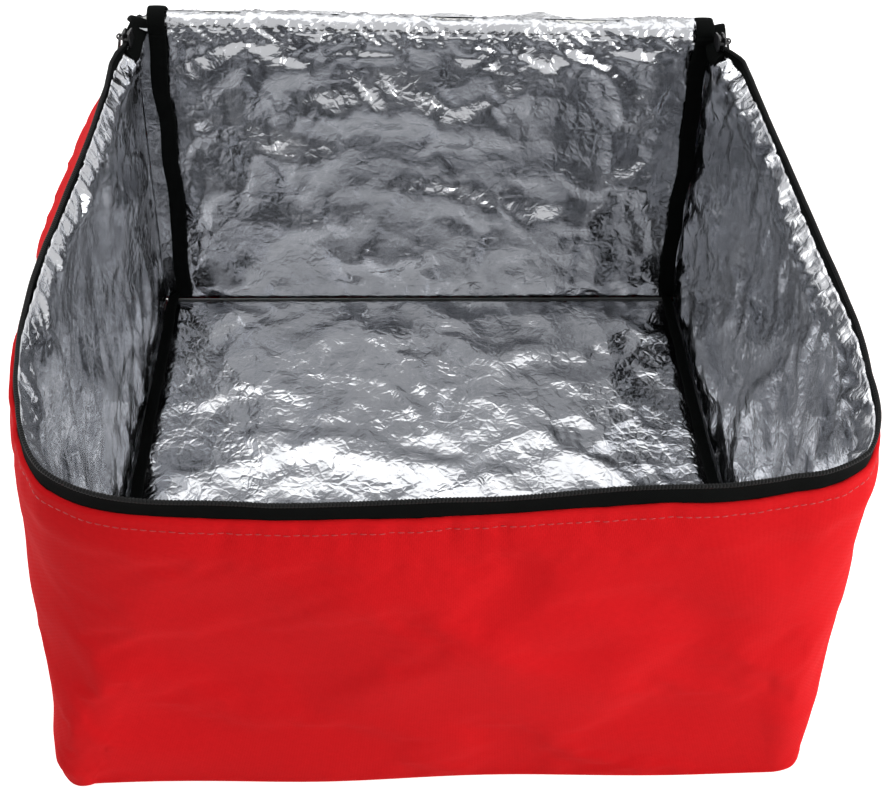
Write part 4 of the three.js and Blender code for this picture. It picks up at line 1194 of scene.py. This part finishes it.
def seam_bindings():
    """Black tape over the raw seams inside: round the floor, and up both back corners to the hinge."""
    level = (BINDING_WIDTH * math.cos(BINDING_TILT) + BINDING_THICK * math.sin(BINDING_TILT)) / 2
    rise = (BINDING_WIDTH * math.sin(BINDING_TILT) + BINDING_THICK * math.cos(BINDING_TILT)) / 2
    height = FLOOR_FOIL_TOP + PLY_GAP + rise
    u, along = even_path(331, height=height)
    origins, across, upward = binding_frames(u, height, BASE_INSET + PLY_GAP + level)
    origins = origins + across * (0.5 * ripple(along, 0, 40, seed=81))[:, None]
    section = rounded_section(BINDING_WIDTH, BINDING_THICK, crown=0.25)
    around = strip("floor_binding", section, origins, across, upward)
    dressed(around, BLACK_TAPE, "bag", "seam_binding")
    for side, word in SIDES.items():
        z = np.linspace(height, 231, 80)
        x = back_half_width(np.minimum(z, WALL_HEIGHT)) - (BASE_INSET + BINDING_SET_IN + BINDING_WIDTH / 2)
        x = side * (x + 0.8 * ripple(z, 0, 70, seed=83 + side) + (RIGHT_END_OUT if side > 0 else -1.5))
        sway = 0.4 * ripple(z, 0, 30, seed=86) - 2.6 * smooth(150, 215, z)
        y = WRAP_END - PLY_GAP - BINDING_THICK / 2 - 0.5 + sway
        line = np.stack([x, y, z], -1)
        crest = [(188.6, 237), (190.2, 243), (194.6, 246.6), (200.2, 246.4), (205.0, 242.6), (209.5, 238.8)]
        over = line_through([line[-1], *[(x[-1], back, top) for back, top in crest]], 30)
        line = np.concatenate([line, sagged(over[1:])])
        run = way_of(line)
        wide = np.broadcast_to([1.0, 0, 0], line.shape)
        band = strip(f"{word}_corner_binding", section, line, wide, np.cross(run, wide))
        dressed(band, BLACK_TAPE, None)
        over_fold(band)


# The hinge: skin and foil run on from the back wall to the lid, over a soft fold

def fold_grid(profile, count):
    """A profile of (y, z) points drawn out along the hinge, with the places across it and along it."""
    line = line_through([(0, y, z) for y, z in profile], count)
    x = (HINGE_WIDTH / 2 + 1.0) * np.linspace(-1, 1, 221)[None]
    x = x + RIGHT_END_OUT * np.clip(2 * x / HINGE_WIDTH, 0, 1) ** 2
    return joined(x, line[:, None, 1], line[:, None, 2]), x, walked(line)[:, None]


def hinge_cloths():
    crest = [
        (191.8, 226.0), (191.3, 231.0), (191.3, 236.0), (192.4, 240.6), (195.2, 243.6), (199.0, 244.3),
        (203.0, 243.0), (207.5, 239.9), (213.5, 235.2), (221.0, 229.4),
    ]
    smooth_form, x, distance = fold_grid(crest, 36)
    calm = 1 - 0.4 * hump(distance, 20, 9)
    pucker = 0.6 * ripple(x + distance, distance * 0.3, 13, seed=91)
    pucker = pucker + 0.4 * ripple(x - distance, distance, 6, seed=92)
    ends = clear_of_ends(0, 12, distance)
    relief = pucker * calm + 1.0 * ripple(x, 0, 90, seed=93) * ends
    grid = sagged(smooth_form + facing(smooth_form, (0, 199, 400)) * relief[..., None])
    crest_foil = thick_sheet("hinge_foil", grid, FOIL_THICK, joined(x, distance), towards=(0, 199, 0))
    dressed(crest_foil, FOIL, None, "hinge_fold")
    over_fold(crest_foil)

    fold = [
        (200.4, 224.0), (200.5, 229.0), (200.7, 233.2), (201.4, 235.0), (202.8, 234.8), (205.2, 232.6),
        (209.0, 229.6), (214.0, 226.0),
    ]
    grid, x, distance = fold_grid(fold, 26)
    fold_skin = thick_sheet("hinge_skin", sagged(grid), FOLD_SKIN_THICK, joined(x, distance), (0, 199, 500))
    dressed(fold_skin, RED_CLOTH, None)
    over_fold(fold_skin)


# Lid, made closed and then thrown back

def lid_panels():
    rear = HINGE_Y - LID_STANDOFF
    outer = level_panel(91, 121, WALL_HEIGHT, LID_SKIN_INSET - 0.2, rear)
    edge = edge_distance(outer)
    smooth_form = outer.copy()
    smooth_form[..., 2] = LID_TOP
    relief = 0.9 * ripple(outer[..., 0], outer[..., 1], 120, seed=101) * smooth(4, 40, edge)
    outer[..., 2] = LID_TOP - 0.2 + np.maximum(relief, -0.4) - 1.4 * np.exp(-edge / 1.5)
    above = (0, 0, 900)
    outer = relaxed(outer, edge < 4, above, growth=0.006, low=-0.3, high=1.5, bending=0.6, seed=11)
    below = thrown_back([0, 0, 200])
    skin = thick_sheet("lid_skin", thrown_back(outer), LID_SKIN_THICK, outer[..., :2], towards=below)
    dressed(skin, RED_CLOTH, "lid", "lid_outer_panel")

    low = level_panel(61, 71, WALL_HEIGHT, LID_FOAM_INSET + 0.2, rear)
    low[..., 2] = 240.5 + 0.15 * ripple(low[..., 0], low[..., 1], 50, seed=102)
    high = low.copy()
    high[..., 2] = 243.8
    foam_pad("lid_foam_pad", "lid_foam", "lid", thrown_back(low), thrown_back(high), low[..., :2])

    inner = level_panel(121, 161, WALL_HEIGHT, LID_FOAM_INSET - 0.6, rear)
    edge = edge_distance(inner)
    smooth_form = inner.copy()
    smooth_form[..., 2] = 239.7
    x, y = inner[..., 0], inner[..., 1]
    pucker = 0.7 * ripple(x, y, 10, seed=104) * np.exp(-edge / 10) * smooth(0, 3, edge)
    inner[..., 2] = 239.6 - crinkle(x, y, 105) * smooth(1, 20, edge) - pucker
    inner = relaxed(inner, edge < 2, (0, 0, -400), growth=0.02, low=-0.5, high=2, seed=12)
    lining = thrown_back(inner)
    lining = thick_sheet("lid_foil", lining, FOIL_THICK, inner[..., :2], towards=thrown_back(above))
    dressed(lining, FOIL, "lid", "lid_lining")


# Webbing

def patch(side, end):
    word, which = SIDES[side], "front" if end < 0 else "rear"
    height = np.linspace(LOOP_HEIGHT - PATCH_HEIGHT, LOOP_HEIGHT, 30)[:, None]
    y = LOOP_CENTRE_BACK + end * LOOP_SPACING / 2 + np.linspace(-0.5, 0.5, 16)[None] * WEBBING_WIDTH
    u = side_place(y, height)
    edge = np.minimum(height - height[0], height[-1] - height)
    edge = np.minimum(edge, WEBBING_WIDTH / 2 - np.abs(y - y.mean()))
    round_it = WEBBING_THICK * np.sqrt(np.clip(edge / 1.4, 0.08, 1))
    u = u if side < 0 else 5 - u
    sag = wall_sag(u, height)
    face = wall_point(u, height, -PATCH_GAP - round_it - sag)
    back = wall_point(u, height, -PATCH_GAP + 0.2 - sag)
    made = sheet(f"{word}_{which}_patch", face, back, joined(y, height))
    dressed(made, WEBBING, "bag", f"{word}_handle_{which}_patch")
    patch_stitches(face, side, f"{word}_{which}_patch_stitches")


def patch_stitches(face, side, name):
    """A sewn square with its diagonals holds each patch."""
    normals = facing(face, (side * 900, 0, 120))
    low, high, left, right = 3, 17, 2, 13
    corners = [(low, left), (low, right), (high, right), (high, left), (low, left)]
    steps = np.linspace(0, 1, 24)
    lines, facings = [], []
    for start, end in (*zip(corners[:-1], corners[1:]), (corners[0], corners[2]), (corners[1], corners[3])):
        row, column = mix(start[0], end[0], steps), mix(start[1], end[1], steps)
        outward = between_grid(normals, row, column)
        lines.append(between_grid(face, row, column) + outward * 0.15)
        facings.append(outward)
    made = repeated(name, lines, facings, PATCH_STITCH, stitch)
    dressed(made, BLACK_THREAD, "bag")


def between_grid(grid, row, column):
    """The values of a grid at places between its rows and columns."""
    r, c = np.minimum(row.astype(int), grid.shape[0] - 2), np.minimum(column.astype(int), grid.shape[1] - 2)
    a, b = (row - r)[:, None], (column - c)[:, None]
    near = grid[r, c] * (1 - b) + grid[r, c + 1] * b
    far = grid[r + 1, c] * (1 - b) + grid[r + 1, c + 1] * b
    return near * (1 - a) + far * a


def loop(side):
    """A carry loop that hangs from its two patches, and turns flat to the hand at its middle."""
    standoff = PATCH_GAP + WEBBING_THICK + LOOP_GAP + WEBBING_THICK / 2
    ends = [LOOP_CENTRE_BACK + end * LOOP_SPACING / 2 for end in (-1, 1)]
    tops = (wall_point(side_place(y, LOOP_HEIGHT), LOOP_HEIGHT, -standoff) for y in ends)
    front, back = (top * [-side, 1, 1] for top in tops)
    run = unit(back - front)
    out = np.cross(run, UP) * side
    half = np.linalg.norm(back - front) / 2
    straight = LOOP_DROP - half
    total = 2 * straight + math.pi * half
    share = np.linspace(0, 1, 110)
    distance = share * total
    turn = np.clip((distance - straight) / half, 0, math.pi)
    along = -half * np.cos(turn)
    rising = np.maximum(distance - (total - straight), 0)
    down = -np.minimum(distance, straight) - half * np.sin(turn) + rising
    twist = math.pi / 2 * np.sin(math.pi * smooth(0, 1, share)) ** 2
    tangent = unit(np.gradient(along)[:, None] * run + np.gradient(down)[:, None] * UP)
    across = np.cross(np.broadcast_to(out, tangent.shape), tangent)
    wide = across * np.cos(twist)[:, None] + out * np.sin(twist)[:, None]
    line = (front + back) / 2 + run * along[:, None] + UP * down[:, None]
    line = line + out * (WEBBING_WIDTH / 2 * np.sin(twist))[:, None]
    section = rounded_section(WEBBING_WIDTH, WEBBING_THICK, crown=0.1, steps=14)
    band = strip(f"{SIDES[side]}_loop", section, line, wide, np.cross(tangent, wide))
    dressed(band, WEBBING, f"{SIDES[side]}_handle", f"{SIDES[side]}_handle_loop")


# Small metal parts: the solids' own shapes with their edges rounded

def rounded_copy(name, node, width, body):
    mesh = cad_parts[node].data.copy()
    mesh.name = name
    work = bmesh.new()
    work.from_mesh(mesh)
    bmesh.ops.remove_doubles(work, verts=work.verts, dist=2e-6)
    bmesh.ops.dissolve_limit(work, angle_limit=math.radians(4), verts=work.verts, edges=work.edges)
    work.to_mesh(mesh)
    work.free()
    for layer in list(mesh.uv_layers):
        mesh.uv_layers.remove(layer)
    made = in_scene(name, mesh)
    modifier = made.modifiers.new("rounded_edges", "BEVEL")
    modifier.width = width * MM
    modifier.segments = 2
    modifier.limit_method = "ANGLE"
    modifier.angle_limit = math.radians(35)
    dressed(made, ENAMEL, body, node)


def crest_stitches():
    """Black stitches along the foil in front of the hinge."""
    x = np.linspace(-HINGE_WIDTH / 2 + 4, HINGE_WIDTH / 2 - 4, 200)
    line = np.stack([x, np.full_like(x, 190.3), 238.5 + 0.4 * ripple(x, 0, 40, seed=95)], -1)
    outward = np.broadcast_to([0.0, -1, 0.2], line.shape)
    made = repeated("hinge_stitches", [sagged(line)], [outward], FOLD_STITCH, stitch)
    dressed(made, BLACK_THREAD, "bag")


wall_skin()
back_skin()
base_skin()
wall_foam("foam_left_pad", "foam_left", 0, 1.496)
wall_foam("foam_front_pad", "foam_front", 1.504, 3.496)
wall_foam("foam_right_pad", "foam_right", 3.504, 5)
back_foam()
base_foam()
wall_foil()
back_foil()
floor_foil()
body_zip()
lid_zip()
seam_bindings()
hinge_cloths()
crest_stitches()
lid_panels()
for side in SIDES:
    corner_tapes(side)
    loop(side)
    for end in (-1, 1):
        patch(side, end)
for word in SIDES.values():
    rounded_copy(f"{word}_slider", f"{word}_slider_body", 0.22, f"{word}_slider")
    rounded_copy(f"{word}_pull", f"{word}_slider_pull", 0.25, f"{word}_pull")
    rounded_copy(f"{word}_stop", f"{word}_zip_stop", 0.2, "bag")
for shape in (stitch, tooth):
    bpy.data.objects.remove(shape)


board_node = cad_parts["base_board"]
board_node.data.materials.clear()
board_node.data.materials.append(BOARD)


# Floor, light and camera

def floor():
    """A plain pale floor, which keeps the bag's shadow and shows near white to the camera."""
    made, tree = material("pale_floor")
    sight = add(tree, "ShaderNodeLightPath").outputs
    paint = add(tree, "ShaderNodeBsdfDiffuse", {"Color": linear("#F4F4F4")})
    glow = add(tree, "ShaderNodeEmission", {"Color": linear("#FFFFFF"), "Strength": FLOOR_GLOW})
    lit = add(tree, "ShaderNodeAddShader", {0: paint, 1: glow})
    rays = {0: sight["Is Camera Ray"], 1: sight["Is Glossy Ray"]}
    seen = add(tree, "ShaderNodeMath", rays, operation="MAXIMUM")
    either = add(tree, "ShaderNodeMixShader", {0: seen, 1: paint, 2: lit})
    add(tree, "ShaderNodeOutputMaterial", {"Surface": either})
    points = [(-FLOOR_REACH, -FLOOR_REACH, 0), (FLOOR_REACH, -FLOOR_REACH, 0)]
    points += [(FLOOR_REACH, FLOOR_REACH, 0), (-FLOOR_REACH, FLOOR_REACH, 0)]
    mesh = bpy.data.meshes.new("floor")
    mesh.from_pydata((np.array(points) * MM).tolist(), [], [(0, 1, 2, 3)])
    mesh.materials.append(made)
    in_scene("floor", mesh)


def sky():
    """A white surround for the camera and for reflections, and a softer even light on everything."""
    world = bpy.data.worlds.new("studio")
    bpy.context.scene.world = world
    world.use_nodes = True
    tree = world.node_tree
    tree.nodes.clear()
    sight = add(tree, "ShaderNodeLightPath").outputs
    rays = {0: sight["Is Camera Ray"], 1: sight["Is Glossy Ray"]}
    seen = add(tree, "ShaderNodeMath", rays, operation="MAXIMUM")
    seen = add(tree, "ShaderNodeMath", {0: seen, 1: sight["Is Transmission Ray"]}, operation="MAXIMUM")
    strength = add(tree, "ShaderNodeMath", {0: seen, 1: 1 - AMBIENT, 2: AMBIENT}, operation="MULTIPLY_ADD")
    white = add(tree, "ShaderNodeBackground", {"Color": linear("#FFFFFF"), "Strength": strength})
    add(tree, "ShaderNodeOutputWorld", {"Surface": white})


FLOOR_REACH = 40000
FLOOR_GLOW = 0.7
AMBIENT = 0.245
LAMP_SIZE = 2.4


def lamp(name, place, target, power):
    light = bpy.data.lights.new(name, "AREA")
    light.shape = "DISK"
    light.size = LAMP_SIZE
    light.energy = power
    made = in_scene(name, light)
    made.location = place
    made.rotation_euler = (Vector(target) - Vector(place)).to_track_quat("-Z", "Y").to_euler()


FOCAL_PIXELS = 1250
PHOTO_WIDTH = 890
SENSOR_WIDTH = 36
EYE = (-24.5, -538.1, 624.4)
EYE_DOWN, EYE_RIGHT, EYE_ROLL = (math.radians(a) for a in (44.54, 3.54, 2.19))


def photo_camera():
    """The photograph's viewpoint, fitted to the bag's base corners and rim."""
    level = Vector((math.cos(EYE_RIGHT), -math.sin(EYE_RIGHT), 0))
    forward = Vector((math.sin(EYE_RIGHT), math.cos(EYE_RIGHT), 0))
    ahead = math.cos(EYE_DOWN) * forward - math.sin(EYE_DOWN) * Vector((0, 0, 1))
    above = level.cross(ahead)
    right = math.cos(EYE_ROLL) * level + math.sin(EYE_ROLL) * above
    up = -math.sin(EYE_ROLL) * level + math.cos(EYE_ROLL) * above
    camera = in_scene("camera", bpy.data.cameras.new("camera"))
    camera.data.sensor_width = SENSOR_WIDTH
    camera.data.lens = SENSOR_WIDTH * FOCAL_PIXELS / PHOTO_WIDTH
    camera.data.clip_start = 0.01
    facing_photo = Matrix((right, up, -ahead)).transposed().to_4x4()
    camera.matrix_world = Matrix.Translation(Vector(EYE) * MM) @ facing_photo
    bpy.context.scene.camera = camera


floor()
sky()
lamp("key_light", (2.0, -1.15, 1.05), (0.05, 0, 0.12), 58)
lamp("fill_light", (-1.3, 0.5, 1.6), (0.15, 0, 0.15), 23)
lamp("top_light", (0.1, 0.9, 2.0), (0, 0.1, 0.1), 14)
photo_camera()
bpy.context.scene.view_settings.view_transform = "Standard"
